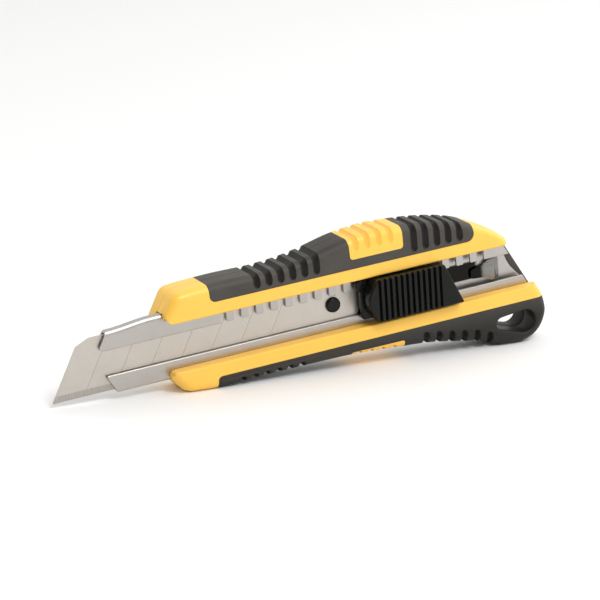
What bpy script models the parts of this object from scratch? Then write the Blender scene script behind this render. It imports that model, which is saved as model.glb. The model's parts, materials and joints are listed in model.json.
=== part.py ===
"""Snap-off utility knife, built as separate solids.

Knife frame, in millimetres: X runs from the blade's tip to the rear end, Y from the slider's side to
the back, Z from the cutting edge up to the spine. The blade's middle plane is Y = 0. The whole knife
hangs from the empty "stance", which raises the rear so that the two belly pads stand on Z = 0.
"""
import math

import bmesh
import bpy
from mathutils import Matrix, Vector

MM = 0.001

# Stance: how far the rear is raised, and where the pad line crosses the front pad.
STANCE_TILT = math.radians(5.41)
PAD_X = 44.5
PAD_Z = -5.6
FRONT_PAD = (43.6, 50.2)
REAR_PAD_SETBACK = 15.7
REAR_PAD_LENGTH = 8.0

# Clearances between pieces.
FIT_GAP = 0.3
SLIDE_GAP = 0.25

# Blade.
BLADE_LENGTH = 100.5
BLADE_WIDTH = 18.0
BLADE_THICKNESS = 0.5
BLADE_ANGLE = math.radians(60.0)
BLADE_GRIND = 2.2
BLADE_CLIP = 3.4
PIN_BACK = 10.6
PIN_Z = 10.0
PIN_RADIUS = 2.2
PIN_SIDES = 24
PIN_GAP = 0.3
PIN_PROUD = 1.1
EDGE_SHARE = 0.1

# Steel sheath: a folded channel with two front lips and a comb in the upper one.
SHEATH_WALL = 0.8
SHEATH_SIDE_GAP = 0.4
SHEATH_FRONT_GAP = 0.35
TONGUE_THICKNESS = 0.65
TONGUE_GAP = 0.2
SHEATH_FRONT = 17.6
SHEATH_SETBACK = 1.7
SHEATH_TOP_RISE = 1.2
SHEATH_RISE_START = 26.0
SHEATH_RISE_END = 33.0
SHEATH_BEND = 0.5
SHEATH_FLOOR_Z = -0.2
LOWER_LIP_Z = 5.0
UPPER_LIP_HEIGHT = 6.1
LIP_SLANT_LOWER = 3.4
LIP_SLANT_MIDDLE = -1.1
LIP_SLANT_TOP = 1.2
COMB_START = 56.7
COMB_FIRST_TAB = 58.6
COMB_PITCH = 5.05
COMB_TAB = 2.45
COMB_REAR_MARGIN = 5.0
COMB_COVER = 1.5

# Body: overall section and the open channel in its front face. Heights of the nose, the spine and the
# heel are above the upper rail's edge, and the tail's lengths are from the foot of the rear edge.
BODY_THICKNESS = 14.0
BODY_FRONT_Y = -5.5
EDGE_ROUND = 2.8
RAIL_COVER = 0.5
LOWER_RAIL_Z = 2.1
NOSE_X = 35.6
NOSE_TOP = (38.6, 8.7)
NOSE_ROUND = 3.2
SPINE = [(46.0, 9.4), (58.0, 9.7), (70.0, 9.5), (80.0, 10.1), (88.0, 11.3), (97.0, 13.3),
         (104.0, 14.3), (111.0, 14.7), (118.0, 14.3), (126.0, 13.6), (134.0, 12.3), (141.0, 10.5),
         (147.0, 8.1), (152.5, 5.2)]
HEEL_HEIGHT = 1.9
HEEL_ROUND = 3.0
REAR_SLOPE = 0.562
REAR_FOOT_X = 167.7
TAIL = [(0.6, -1.0), (1.6, -4.6), (1.7, -8.2), (-0.2, -12.4), (-3.5, -15.2)]
BELLY = [(148.4, -14.3), (143.5, -12.4), (138.0, -11.3), (131.0, -9.8), (125.0, -8.8), (115.0, -7.9),
         (106.0, -7.1), (97.0, -6.5), (87.0, -6.3), (76.0, -6.2), (65.0, -6.2), (56.0, -6.3)]
JAW = [(41.4, -4.5), (39.4, -2.2)]
JAW_FRONT = 36.6

# Soft grips laid into the body. Upper heights are above the upper rail's edge.
GRIP_DEPTH = 1.5
UPPER_GRIP = (51.9, 144.2)
UPPER_GRIP_HEIGHT = 4.25
GRIP_CORNER = 2.0
UPPER_WINDOW = (98.6, 118.8)
UPPER_WINDOW_HEIGHT = 7.3
UPPER_WINDOW_ROUND = 1.0
LOWER_GRIP_X = 52.2
LOWER_GRIP_Z = -2.2
LOWER_GRIP_ROUND = 1.4
LOWER_WINDOW = (97.2, 117.0)
LOWER_WINDOW_Z = -5.4
LOWER_WINDOW_FLARE = 1.2
LOWER_WINDOW_ROUND = 0.8
GRIP_BLOCK_SETBACK = 21.7
BACK_GRIP_X = 60.0
BACK_GRIP_LOW_Z = 3.4
BACK_GRIP_RAIL_GAP = 1.3
BACK_GRIP_ROUND = 3.0
REAR_STRIP = 2.6
REAR_STRIP_TOP_GAP = 0.4

# Finger grooves.
GROOVE_WIDTH = 1.5
GROOVE_DEPTH = 0.8
GROOVE_PITCH = 4.08
FRONT_GROOVES = (67.4, 6)
WINDOW_GROOVES = (102.4, 4)
REAR_GROOVES = (122.7, 5)
GROOVE_FOOT_HEIGHT = 5.6
WINDOW_FOOT_HEIGHT = 10.0
BELLY_NOTCHES = (60.6, 6)
BELLY_NOTCH_FOOT = 1.6
WINDOW_NOTCHES = (101.2, 4)
WINDOW_NOTCH_FOOT = 1.2
TAIL_NOTCHES = (127.6, 5)
TAIL_NOTCH_PITCH = 4.58
TAIL_NOTCH_TOP = 3.3
TAIL_NOTCH_DEPTH = 1.0

# Hang hole: two circles joined by tangents, placed from the foot of the rear edge.
HOLE_FRONT = (-15.1, -8.3)
HOLE_FRONT_RADIUS = 2.0
HOLE_REAR = (-6.8, -9.2)
HOLE_REAR_RADIUS = 3.7

# Slider: carrier, knob and lock spring.
CARRIER_REAR = 124.8
TONGUE_FRONT = 5.0
TONGUE_REAR = 118.0
TONGUE_Z = 4.2
TONGUE_RAIL_GAP = 1.9
NECK_REAR = 124.0
NECK_GAP = 0.35
JOIN = 0.3
TONGUE_STEP = 0.02
FLANGE_X = (102.6, 134.0)
FLANGE_MARGIN = (0.3, 0.5)
FLANGE_THICKNESS = 1.7
KNOB_X = (104.4, 138.4)
KNOB_LOW_Z = 3.4
KNOB_RAIL_GAP = 0.4
KNOB_FACE_Y = -8.5
KNOB_BOW = 3.2
KNOB_CORNER = 1.0
KNOB_ROUND = 0.9
KNOB_RIB_START = 109.2
KNOB_RIBS = 12
KNOB_RIB_PITCH = 2.0
KNOB_RIB_DEPTH = 0.8
KNOB_SHIFT = 1.2
KEY_X = (122.6, 128.2)
KEY_Z = (6.6, 11.4)
KEY_FLOOR = 0.4
SPRING_STRIP = 0.4
SPRING_ROOT_X = 106.4
SPRING_LIP_GAP = 1.85
SPRING_WIDTH = 2.0
SPRING_END = 0.6
SPRING_STEP = 0.1
TOOTH_PLACE = 117.9
TOOTH_SETBACK = 0.2
TOOTH_TOP = 0.9
TOOTH_BASE = 2.0
TOOTH_CLEARANCE = 0.3

# Stop clip at the rear of the channel, placed from the foot of the rear edge.
STOP_SETBACK = (22.3, 11.9)
STOP_LOW_Z = 5.6
STOP_LIP_GAP = 0.5
STOP_HEIGHT = 1.5
STOP_STRIP = 0.6
STOP_CREST = (4.2, 1.8)
STOP_RAMP = 2.6

# Derived planes.
TONGUE_FACE_Y = BLADE_THICKNESS / 2 + TONGUE_GAP
CARRIER_BACK_Y = TONGUE_FACE_Y + TONGUE_THICKNESS
SHEATH_INNER_BACK = CARRIER_BACK_Y + SLIDE_GAP
SHEATH_BACK = SHEATH_INNER_BACK + SHEATH_WALL
LIP_INNER = -(BLADE_THICKNESS / 2 + SHEATH_FRONT_GAP)
LIP_OUTER = LIP_INNER - SHEATH_WALL
SHEATH_INNER_TOP = BLADE_WIDTH + SHEATH_SIDE_GAP
SHEATH_TOP = SHEATH_INNER_TOP + SHEATH_WALL
SHEATH_BOTTOM = SHEATH_FLOOR_Z - SHEATH_WALL
UPPER_LIP_Z = SHEATH_TOP - UPPER_LIP_HEIGHT
UPPER_RAIL_Z = BLADE_WIDTH - RAIL_COVER
UPPER_GRIP_Z = UPPER_RAIL_Z + UPPER_GRIP_HEIGHT
UPPER_WINDOW_Z = UPPER_RAIL_Z + UPPER_WINDOW_HEIGHT
BACK_GRIP_Z = (BACK_GRIP_LOW_Z, UPPER_RAIL_Z - BACK_GRIP_RAIL_GAP)
BODY_BACK_Y = BODY_FRONT_Y + BODY_THICKNESS
NECK_Z = (LOWER_LIP_Z + NECK_GAP, UPPER_LIP_Z - NECK_GAP)
CARRIER_FRONT_Y = LIP_INNER + SLIDE_GAP
FLANGE_BACK_Y = LIP_OUTER - NECK_GAP
FLANGE_FRONT_Y = FLANGE_BACK_Y - FLANGE_THICKNESS
KNOB_BACK_Y = FLANGE_FRONT_Y - FIT_GAP
KNOB_Z = (KNOB_LOW_Z, UPPER_RAIL_Z - KNOB_RAIL_GAP)
FLANGE_Z = (KNOB_Z[0] + FLANGE_MARGIN[0], KNOB_Z[1] - FLANGE_MARGIN[1])
KEY_FLOOR_Y = FLANGE_BACK_Y - KEY_FLOOR
PIN_X = BLADE_LENGTH + PIN_Z / math.tan(BLADE_ANGLE) - PIN_BACK
FIRST_GAP_X = COMB_FIRST_TAB + COMB_TAB + (COMB_PITCH - COMB_TAB) / 2
TOOTH_GAP = round((TOOTH_PLACE - FIRST_GAP_X) / COMB_PITCH)
TOOTH_X = FIRST_GAP_X + COMB_PITCH * TOOTH_GAP + TOOTH_SETBACK
SPRING_Z = UPPER_LIP_Z - SPRING_LIP_GAP
SPRING_NEAR_Y = LIP_INNER - SPRING_STEP
SIDE_EPSILON = 1e-6
FAR = 60.0


def pad_z(x):
    """Height of the line that both belly pads lie on."""
    return PAD_Z - math.tan(STANCE_TILT) * (x - PAD_X)


def rear_x(z, setback=0.0):
    """The slanted rear edge, moved forward by a setback."""
    return REAR_FOOT_X - REAR_SLOPE * z - setback


def clear_scene():
    for old in list(bpy.data.objects):
        bpy.data.objects.remove(old, do_unlink=True)


def fillet(before, corner, after, radius, steps=4):
    """Points of an arc that rounds one corner of an outline."""
    corner = Vector(corner)
    to_before = (Vector(before) - corner).normalized()
    to_after = (Vector(after) - corner).normalized()
    half = to_before.angle(to_after) / 2
    reach = radius / math.tan(half)
    centre = corner + (to_before + to_after).normalized() * (radius / math.sin(half))
    start = corner + to_before * reach - centre
    end = corner + to_after * reach - centre
    turn = start.angle_signed(end)
    points = []
    for step in range(steps + 1):
        spoke = start.copy()
        spoke.rotate(Matrix.Rotation(-turn * step / steps, 2))
        points.append(tuple(centre + spoke))
    return points


def rounded(corners, steps=4):
    """Outline from (x, z) or (x, z, radius) corners."""
    points = []
    count = len(corners)
    for index, corner in enumerate(corners):
        if len(corner) < 3:
            points.append(tuple(corner))
            continue
        before = corners[index - 1][:2]
        after = corners[(index + 1) % count][:2]
        points.extend(fillet(before, corner[:2], after, corner[2], steps))
    return points


def smooth_curve(knots, steps=2):
    """Catmull-Rom points through the knots, ends included."""
    padded = [knots[0]] + list(knots) + [knots[-1]]
    points = []
    for i in range(1, len(padded) - 2):
        p0, p1, p2, p3 = [Vector(p) for p in padded[i - 1:i + 3]]
        for step in range(steps):
            t = step / steps
            point = 0.5 * (2 * p1 + (p2 - p0) * t + (2 * p0 - 5 * p1 + 4 * p2 - p3) * t * t
                           + (3 * p1 - p0 - 3 * p2 + p3) * t ** 3)
            points.append(tuple(point))
    points.append(tuple(knots[-1]))
    return points


def body_outline():
    """Side outline of the whole body, counter-clockwise from the jaw's front."""
    front_pad = [(FRONT_PAD[0], pad_z(FRONT_PAD[0])), (FRONT_PAD[1], pad_z(FRONT_PAD[1]))]
    rear_start = REAR_FOOT_X - REAR_PAD_SETBACK
    rear_end = rear_start + REAR_PAD_LENGTH
    rear_pad = [(rear_start, pad_z(rear_start)), (rear_end, pad_z(rear_end))]
    belly = smooth_curve([front_pad[1]] + BELLY[::-1] + [rear_pad[0]])
    tail = smooth_curve([rear_pad[1]] + [(REAR_FOOT_X + x, z) for x, z in TAIL[::-1]])
    spine = smooth_curve([(x, UPPER_RAIL_Z + height) for x, height in SPINE])[::-1]
    heel_z = UPPER_RAIL_Z + HEEL_HEIGHT
    heel_arc = fillet(tail[-1], (rear_x(heel_z), heel_z), spine[0], HEEL_ROUND)
    nose_top = (NOSE_TOP[0], UPPER_RAIL_Z + NOSE_TOP[1])
    nose_arc = fillet(spine[-1], nose_top, (NOSE_X, UPPER_RAIL_Z), NOSE_ROUND)
    front = [(NOSE_X, UPPER_RAIL_Z), (JAW_FRONT, LOWER_RAIL_Z)]
    jaw = JAW[::-1]
    return front + jaw + [front_pad[0]] + belly + tail + heel_arc + spine + nose_arc


def inset(outline, distance):
    """The outline moved inwards by a distance, point by point."""
    moved = []
    count = len(outline)
    for index in range(count):
        point = Vector(outline[index])
        before = Vector(outline[index - 1])
        after = Vector(outline[(index + 1) % count])
        first = (point - before).normalized()
        second = (after - point).normalized()
        normal = Vector((-first.y - second.y, first.x + second.x)).normalized()
        stretch = max(normal.dot(Vector((-first.y, first.x))), 0.5)
        moved.append(tuple(point + normal * (distance / stretch)))
    return moved


def new_object(name, mesh_bm):
    """Object from a bmesh in millimetres."""
    bmesh.ops.recalc_face_normals(mesh_bm, faces=mesh_bm.faces)
    bmesh.ops.scale(mesh_bm, vec=(MM, MM, MM), verts=mesh_bm.verts)
    mesh = bpy.data.meshes.new(name)
    mesh_bm.to_mesh(mesh)
    mesh_bm.free()
    obj = bpy.data.objects.new(name, mesh)
    bpy.context.collection.objects.link(obj)
    return obj


def extruded(points, step):
    """A closed section of 3D points, extruded by a step."""
    bm = bmesh.new()
    face = bm.faces.new([bm.verts.new(point) for point in points])
    moved = bmesh.ops.extrude_face_region(bm, geom=[face])
    new_verts = [item for item in moved["geom"] if isinstance(item, bmesh.types.BMVert)]
    bmesh.ops.translate(bm, vec=step, verts=new_verts)
    bmesh.ops.recalc_face_normals(bm, faces=bm.faces)
    return bm


def rims_at(bm, y_levels):
    """The edges that lie at given distances across the knife."""
    def lies_at(edge, y):
        return all(abs(vert.co.y - y) < SIDE_EPSILON for vert in edge.verts)
    return [edge for edge in bm.edges if any(lies_at(edge, y) for y in y_levels)]


def prism_mesh(outline, y_low, y_high, edge_round=0.0, segments=3):
    """Closed outline in XZ, extruded along Y, with its rims rounded if asked."""
    bm = extruded([(x, y_low, z) for x, z in outline], (0, y_high - y_low, 0))
    if edge_round:
        rims = rims_at(bm, (y_low, y_high))
        bmesh.ops.bevel(bm, geom=rims, offset=edge_round, affect="EDGES", segments=segments,
                        profile=0.5, clamp_overlap=False, material=-1)
    return bm


def add_box(bm, low, high):
    """A box between two corners, added to a bmesh."""
    size = Vector(high) - Vector(low)
    middle = (Vector(high) + Vector(low)) / 2
    placed = Matrix.Translation(middle) @ Matrix.Diagonal((*size, 1.0))
    bmesh.ops.create_cube(bm, size=1.0, matrix=placed)


def box(name, low, high):
    bm = bmesh.new()
    add_box(bm, low, high)
    return new_object(name, bm)


def prism(name, outline, y_low, y_high, edge_round=0.0, segments=3):
    return new_object(name, prism_mesh(outline, y_low, y_high, edge_round, segments))


def cylinder(name, radius, y_low, y_high):
    """A round form across the knife, on the pin's axis."""
    bm = bmesh.new()
    place = Matrix.Translation((PIN_X, (y_low + y_high) / 2, PIN_Z))
    bmesh.ops.create_cone(bm, cap_ends=True, segments=PIN_SIDES, radius1=radius, radius2=radius,
                          depth=y_high - y_low, matrix=place @ Matrix.Rotation(math.pi / 2, 4, "X"))
    return new_object(name, bm)


def guide(obj):
    """Marks a cutter, which isn't part of the knife."""
    obj.hide_render = True
    obj.display_type = "WIRE"
    obj.parent = bpy.data.objects["stance"]
    return obj


def boolean(obj, other, operation):
    modifier = obj.modifiers.new(other.name, "BOOLEAN")
    modifier.operation = operation
    modifier.object = other
    modifier.solver = "EXACT"


def material(name, colour, roughness, metallic=0.0):
    mat = bpy.data.materials.new(name)
    mat.use_nodes = True
    shader = mat.node_tree.nodes["Principled BSDF"]
    shader.inputs["Base Color"].default_value = (*colour, 1.0)
    shader.inputs["Roughness"].default_value = roughness
    shader.inputs["Metallic"].default_value = metallic
    return mat


def finish(obj, mat, parent, origin=(0.0, 0.0, 0.0), smooth_angle=35.0):
    """Gives a piece its material, its parent and its origin in the knife frame."""
    offset = Vector(origin) * MM
    obj.data.materials.append(mat)
    obj.data.transform(Matrix.Translation(-offset))
    obj.data.shade_smooth()
    obj.data.set_sharp_from_angle(angle=math.radians(smooth_angle))
    obj.parent = parent
    obj.location = offset - place_in_stance(parent)
    return obj


def place_in_stance(empty):
    """Position of an empty in the stance's own frame."""
    place = Vector((0.0, 0.0, 0.0))
    while empty is not None and empty.name != "stance":
        place += empty.location
        empty = empty.parent
    return place


def new_empty(name, location, parent=None):
    empty = bpy.data.objects.new(name, None)
    empty.empty_display_size = 0.01
    bpy.context.collection.objects.link(empty)
    empty.parent = parent
    above = place_in_stance(parent) if parent else Vector((0.0, 0.0, 0.0))
    empty.location = Vector(location) * MM - above
    return empty


def make_stance(outline):
    """The empty that raises the rear, centres the knife and stands it on its pads."""
    cos_tilt = math.cos(STANCE_TILT)
    sin_tilt = math.sin(STANCE_TILT)
    highest_x = max(x * cos_tilt - z * sin_tilt for x, z in outline)
    shift_x = -highest_x / 2
    shift_z = -(PAD_X * sin_tilt + PAD_Z * cos_tilt)
    stance = new_empty("stance", (shift_x, 0.0, shift_z))
    stance.rotation_euler = (0.0, -STANCE_TILT, 0.0)
    return stance


def upper_region(gap):
    """Side outline of the upper grip, with its window left open at the top."""
    low = UPPER_GRIP_Z + gap
    front = UPPER_GRIP[0] + gap
    rear = UPPER_GRIP[1] - gap
    window = (UPPER_WINDOW[0] - gap, UPPER_WINDOW[1] + gap)
    sill = UPPER_WINDOW_Z - gap
    return rounded([(front, FAR), (front, low, GRIP_CORNER), (rear, low, GRIP_CORNER), (rear, FAR),
                    (window[1], FAR), (window[1], sill, UPPER_WINDOW_ROUND),
                    (window[0], sill, UPPER_WINDOW_ROUND), (window[0], FAR)])


def lower_region(gap):
    """Side outline of the lower grip, with its window left open at the bottom."""
    top = LOWER_GRIP_Z - gap
    front = LOWER_GRIP_X + gap
    window = (LOWER_WINDOW[0] - gap, LOWER_WINDOW[1] + gap)
    sill = LOWER_WINDOW_Z + gap
    far_x = REAR_FOOT_X + FAR
    return rounded([(front, -FAR), (window[0], -FAR),
                    (window[0] + LOWER_WINDOW_FLARE, sill, LOWER_WINDOW_ROUND),
                    (window[1], sill, LOWER_WINDOW_ROUND), (window[1], -FAR), (far_x, -FAR),
                    (far_x, top), (front, top, LOWER_GRIP_ROUND)])


def back_panel_region(gap):
    """Side outline of the back grip's panel, open towards the rear edge."""
    low = BACK_GRIP_Z[0] + gap
    high = BACK_GRIP_Z[1] - gap
    front = BACK_GRIP_X + gap
    return rounded([(front, low, BACK_GRIP_ROUND), (rear_x(low, -FAR), low),
                    (rear_x(high, -FAR), high), (front, high, BACK_GRIP_ROUND)])


def rear_strip_region(gap):
    """Side outline of the strip that closes the back wall's rear end."""
    low = LOWER_GRIP_Z + FIT_GAP - gap
    high = UPPER_RAIL_Z - REAR_STRIP_TOP_GAP + gap
    setback = REAR_STRIP + gap
    return [(rear_x(low, setback), low), (rear_x(low, -FAR), low), (rear_x(high, -FAR), high),
            (rear_x(high, setback), high)]


def channel_cutter():
    """The pocket that holds the sheath and the slot that opens it to the front."""
    pocket_front = LIP_OUTER - FIT_GAP
    pocket_back = SHEATH_BACK + FIT_GAP
    pocket_top = SHEATH_TOP + SHEATH_TOP_RISE + FIT_GAP
    pocket_bottom = SHEATH_BOTTOM - FIT_GAP
    section = [(-FAR, LOWER_RAIL_Z), (pocket_front, LOWER_RAIL_Z), (pocket_front, pocket_bottom),
               (pocket_back, pocket_bottom), (pocket_back, pocket_top), (pocket_front, pocket_top),
               (pocket_front, UPPER_RAIL_Z), (-FAR, UPPER_RAIL_Z)]
    bm = extruded([(0.0, y, z) for y, z in section], (REAR_FOOT_X + FAR, 0, 0))
    return guide(new_object("channel_cutter", bm))


def hole_outline(steps=7):
    """Outline of the hang hole: the hull of two circles."""
    foot = Vector((REAR_FOOT_X, 0.0))
    front = foot + Vector(HOLE_FRONT)
    rear = foot + Vector(HOLE_REAR)
    small = HOLE_FRONT_RADIUS
    large = HOLE_REAR_RADIUS
    along = rear - front
    heading = math.atan2(along.y, along.x)
    spread = math.acos((small - large) / along.length)
    points = []
    for step in range(steps + 1):
        angle = heading + spread + (2 * math.pi - 2 * spread) * step / steps
        points.append((front.x + small * math.cos(angle), front.y + small * math.sin(angle)))
    for step in range(steps + 1):
        angle = heading - spread + 2 * spread * step / steps
        points.append((rear.x + large * math.cos(angle), rear.y + large * math.sin(angle)))
    return points


def slab_cutter(name, slabs, outline, depth=GROOVE_DEPTH):
    """Grooves: thin slabs across the body, (x, low z, high z) each, that stop at the groove's floor."""
    bm = bmesh.new()
    for x, z_low, z_high in slabs:
        add_box(bm, (x - GROOVE_WIDTH / 2, -FAR, z_low), (x + GROOVE_WIDTH / 2, FAR, z_high))
    cutter = guide(new_object(name, bm))
    floor = guide(prism(name + "_floor", inset(outline, depth), BODY_FRONT_Y + GROOVE_DEPTH,
                        BODY_BACK_Y - GROOVE_DEPTH, EDGE_ROUND - GROOVE_DEPTH, 2))
    boolean(cutter, floor, "DIFFERENCE")
    return cutter


def groove_row(groups, z_low, z_high):
    """Slabs at the groove pitch, for each (first x, count) group."""
    return [(start + GROOVE_PITCH * index, z_low, z_high)
            for start, count in groups for index in range(count)]


def tail_notch_row():
    """Slabs for the notches in the rear belly, which follow its slope."""
    start, count = TAIL_NOTCHES
    rear_start = REAR_FOOT_X - REAR_PAD_SETBACK
    knots = [(rear_start, pad_z(rear_start))] + BELLY
    row = []
    for index in range(count):
        x = start + TAIL_NOTCH_PITCH * index
        after, before = next(pair for pair in zip(knots, knots[1:]) if pair[1][0] <= x)
        share = (x - before[0]) / (after[0] - before[0])
        belly_z = before[1] + share * (after[1] - before[1])
        row.append((x, -FAR, belly_z + TAIL_NOTCH_TOP))
    return row


def core(name, outline, depth):
    """The body's inner form under the soft grips."""
    bm = prism_mesh(inset(outline, depth), BODY_FRONT_Y + depth, BODY_BACK_Y - depth,
                    EDGE_ROUND - depth, 2)
    return guide(new_object(name, bm))


def rear_block(name, gap):
    """Where the lower grip is solid right through, around the hang hole."""
    front = REAR_FOOT_X - GRIP_BLOCK_SETBACK - gap
    outline = [(front, LOWER_GRIP_Z - FAR), (REAR_FOOT_X + FAR, LOWER_GRIP_Z - FAR),
               (REAR_FOOT_X + FAR, LOWER_GRIP_Z), (front, LOWER_GRIP_Z)]
    return guide(prism(name, outline, -FAR, FAR))


def make_body(outline, parent, mat):
    """The moulded body: two rails and a back wall, recessed for the grips."""
    body = prism("body_shell", outline, BODY_FRONT_Y, BODY_BACK_Y, EDGE_ROUND)
    boolean(body, guide(prism("upper_recess", upper_region(0.0), -FAR, FAR)), "DIFFERENCE")
    boolean(body, guide(prism("lower_recess", lower_region(0.0), -FAR, FAR)), "DIFFERENCE")
    panel = prism("panel_recess", back_panel_region(0.0), BODY_BACK_Y - GRIP_DEPTH, FAR)
    boolean(body, guide(panel), "DIFFERENCE")
    boolean(body, core("body_core", outline, GRIP_DEPTH + FIT_GAP), "UNION")
    boolean(body, rear_block("block_recess", 0.0), "DIFFERENCE")
    strip = prism("strip_recess", rear_strip_region(FIT_GAP), SHEATH_BACK, FAR)
    boolean(body, guide(strip), "DIFFERENCE")
    boolean(body, bpy.data.objects["channel_cutter"], "DIFFERENCE")
    grooves = groove_row([WINDOW_GROOVES], UPPER_RAIL_Z + WINDOW_FOOT_HEIGHT, FAR)
    boolean(body, slab_cutter("window_grooves", grooves, outline), "DIFFERENCE")
    notches = groove_row([WINDOW_NOTCHES], -FAR, LOWER_WINDOW_Z - WINDOW_NOTCH_FOOT)
    boolean(body, slab_cutter("window_notches", notches, outline), "DIFFERENCE")
    return finish(body, mat, parent)


def make_upper_grip(outline, parent, mat):
    grip = prism("upper_grip", outline, BODY_FRONT_Y, BODY_BACK_Y, EDGE_ROUND)
    boolean(grip, guide(prism("upper_keep", upper_region(FIT_GAP), -FAR, FAR)), "INTERSECT")
    boolean(grip, core("upper_core", outline, GRIP_DEPTH), "DIFFERENCE")
    grooves = groove_row([FRONT_GROOVES, REAR_GROOVES], UPPER_RAIL_Z + GROOVE_FOOT_HEIGHT, FAR)
    boolean(grip, slab_cutter("spine_grooves", grooves, outline), "DIFFERENCE")
    return finish(grip, mat, parent)


def make_lower_grip(outline, parent, mat):
    grip = prism("lower_grip", outline, BODY_FRONT_Y, BODY_BACK_Y, EDGE_ROUND)
    boolean(grip, guide(prism("lower_keep", lower_region(FIT_GAP), -FAR, FAR)), "INTERSECT")
    inner = core("lower_core", outline, GRIP_DEPTH)
    boolean(inner, rear_block("inner_end", -FIT_GAP), "DIFFERENCE")
    boolean(grip, inner, "DIFFERENCE")
    hole = guide(prism("hang_hole_cutter", hole_outline(), -FAR, FAR))
    boolean(grip, hole, "DIFFERENCE")
    notches = groove_row([BELLY_NOTCHES], -FAR, LOWER_GRIP_Z - BELLY_NOTCH_FOOT)
    boolean(grip, slab_cutter("belly_notches", notches, outline), "DIFFERENCE")
    tail = slab_cutter("tail_notches", tail_notch_row(), outline, TAIL_NOTCH_DEPTH)
    boolean(grip, tail, "DIFFERENCE")
    return finish(grip, mat, parent)


def make_back_grip(outline, parent, mat):
    """The panel in the back face and the strip around the back wall's rear end."""
    grip = prism("back_grip", outline, BODY_FRONT_Y, BODY_BACK_Y, EDGE_ROUND)
    panel_y = BODY_BACK_Y - GRIP_DEPTH + FIT_GAP
    keep = prism("back_keep", back_panel_region(FIT_GAP), panel_y, FAR)
    strip = guide(prism("strip_keep", rear_strip_region(0.0), SHEATH_BACK + FIT_GAP, FAR - 1.0))
    boolean(guide(keep), strip, "UNION")
    boolean(grip, keep, "INTERSECT")
    return finish(grip, mat, parent)


def sheath_ring():
    """The folded channel's section, as (y, z) corners around the metal."""
    bend = SHEATH_BEND
    return [(LIP_OUTER, LOWER_LIP_Z), (LIP_OUTER, SHEATH_BOTTOM + bend),
            (LIP_OUTER + bend, SHEATH_BOTTOM), (SHEATH_BACK - bend, SHEATH_BOTTOM),
            (SHEATH_BACK, SHEATH_BOTTOM + bend), (SHEATH_BACK, SHEATH_TOP - bend),
            (SHEATH_BACK - bend, SHEATH_TOP), (LIP_OUTER + bend, SHEATH_TOP),
            (LIP_OUTER, SHEATH_TOP - bend), (LIP_OUTER, UPPER_LIP_Z), (LIP_INNER, UPPER_LIP_Z),
            (LIP_INNER, SHEATH_INNER_TOP), (SHEATH_INNER_BACK, SHEATH_INNER_TOP),
            (SHEATH_INNER_BACK, SHEATH_FLOOR_Z), (LIP_INNER, SHEATH_FLOOR_Z),
            (LIP_INNER, LOWER_LIP_Z)]


def comb_cutter():
    """Slots between the tabs of the upper lip, up to the sheath's rear end."""
    slots = [(COMB_START, COMB_FIRST_TAB)]
    slot_start = COMB_FIRST_TAB + COMB_TAB
    while slot_start < rear_x(SHEATH_TOP, SHEATH_SETBACK) - COMB_REAR_MARGIN:
        slots.append((slot_start, slot_start + COMB_PITCH - COMB_TAB))
        slot_start += COMB_PITCH
    bm = bmesh.new()
    for start, end in slots:
        add_box(bm, (start, -FAR, UPPER_LIP_Z - FAR),
                (end, (LIP_INNER + SHEATH_INNER_BACK) / 2, SHEATH_TOP - COMB_COVER))
    above_lower_lip = [vert for vert in bm.verts if vert.co.z < 0]
    for vert in above_lower_lip:
        vert.co.z = (LOWER_LIP_Z + UPPER_LIP_Z) / 2
    return guide(new_object("comb_cutter", bm))


def make_sheath(parent, mat):
    """The steel channel: closed tight over the blade in front, higher inside the body."""
    length = REAR_FOOT_X + FAR
    bm = extruded([(0.0, y, z) for y, z in sheath_ring()], (length, 0, 0))
    for x in (SHEATH_RISE_START, SHEATH_RISE_END):
        bmesh.ops.bisect_plane(bm, geom=bm.verts[:] + bm.edges[:] + bm.faces[:],
                               plane_co=(x, 0, 0), plane_no=(1, 0, 0), dist=1e-4)
    for vert in bm.verts:
        if vert.co.x > SHEATH_RISE_END - 1e-3 and vert.co.z > UPPER_LIP_Z + SHEATH_BEND:
            vert.co.z += SHEATH_TOP_RISE
    sheath = new_object("blade_sheath", bm)
    nose = [(-FAR, -FAR), (SHEATH_FRONT + LIP_SLANT_LOWER, -FAR),
            (SHEATH_FRONT + LIP_SLANT_LOWER, SHEATH_BOTTOM), (SHEATH_FRONT, LOWER_LIP_Z),
            (SHEATH_FRONT + LIP_SLANT_MIDDLE, UPPER_LIP_Z), (SHEATH_FRONT + LIP_SLANT_TOP, SHEATH_TOP),
            (SHEATH_FRONT + LIP_SLANT_TOP, FAR), (-FAR, FAR)]
    boolean(sheath, guide(prism("sheath_nose_cutter", nose, -FAR, FAR)), "DIFFERENCE")
    rear = [(rear_x(-FAR, SHEATH_SETBACK), -FAR), (length + FAR, -FAR), (length + FAR, FAR),
            (rear_x(FAR, SHEATH_SETBACK), FAR)]
    boolean(sheath, guide(prism("sheath_rear_cutter", rear, -FAR, FAR)), "DIFFERENCE")
    boolean(sheath, comb_cutter(), "DIFFERENCE")
    return finish(sheath, mat, parent)


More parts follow.
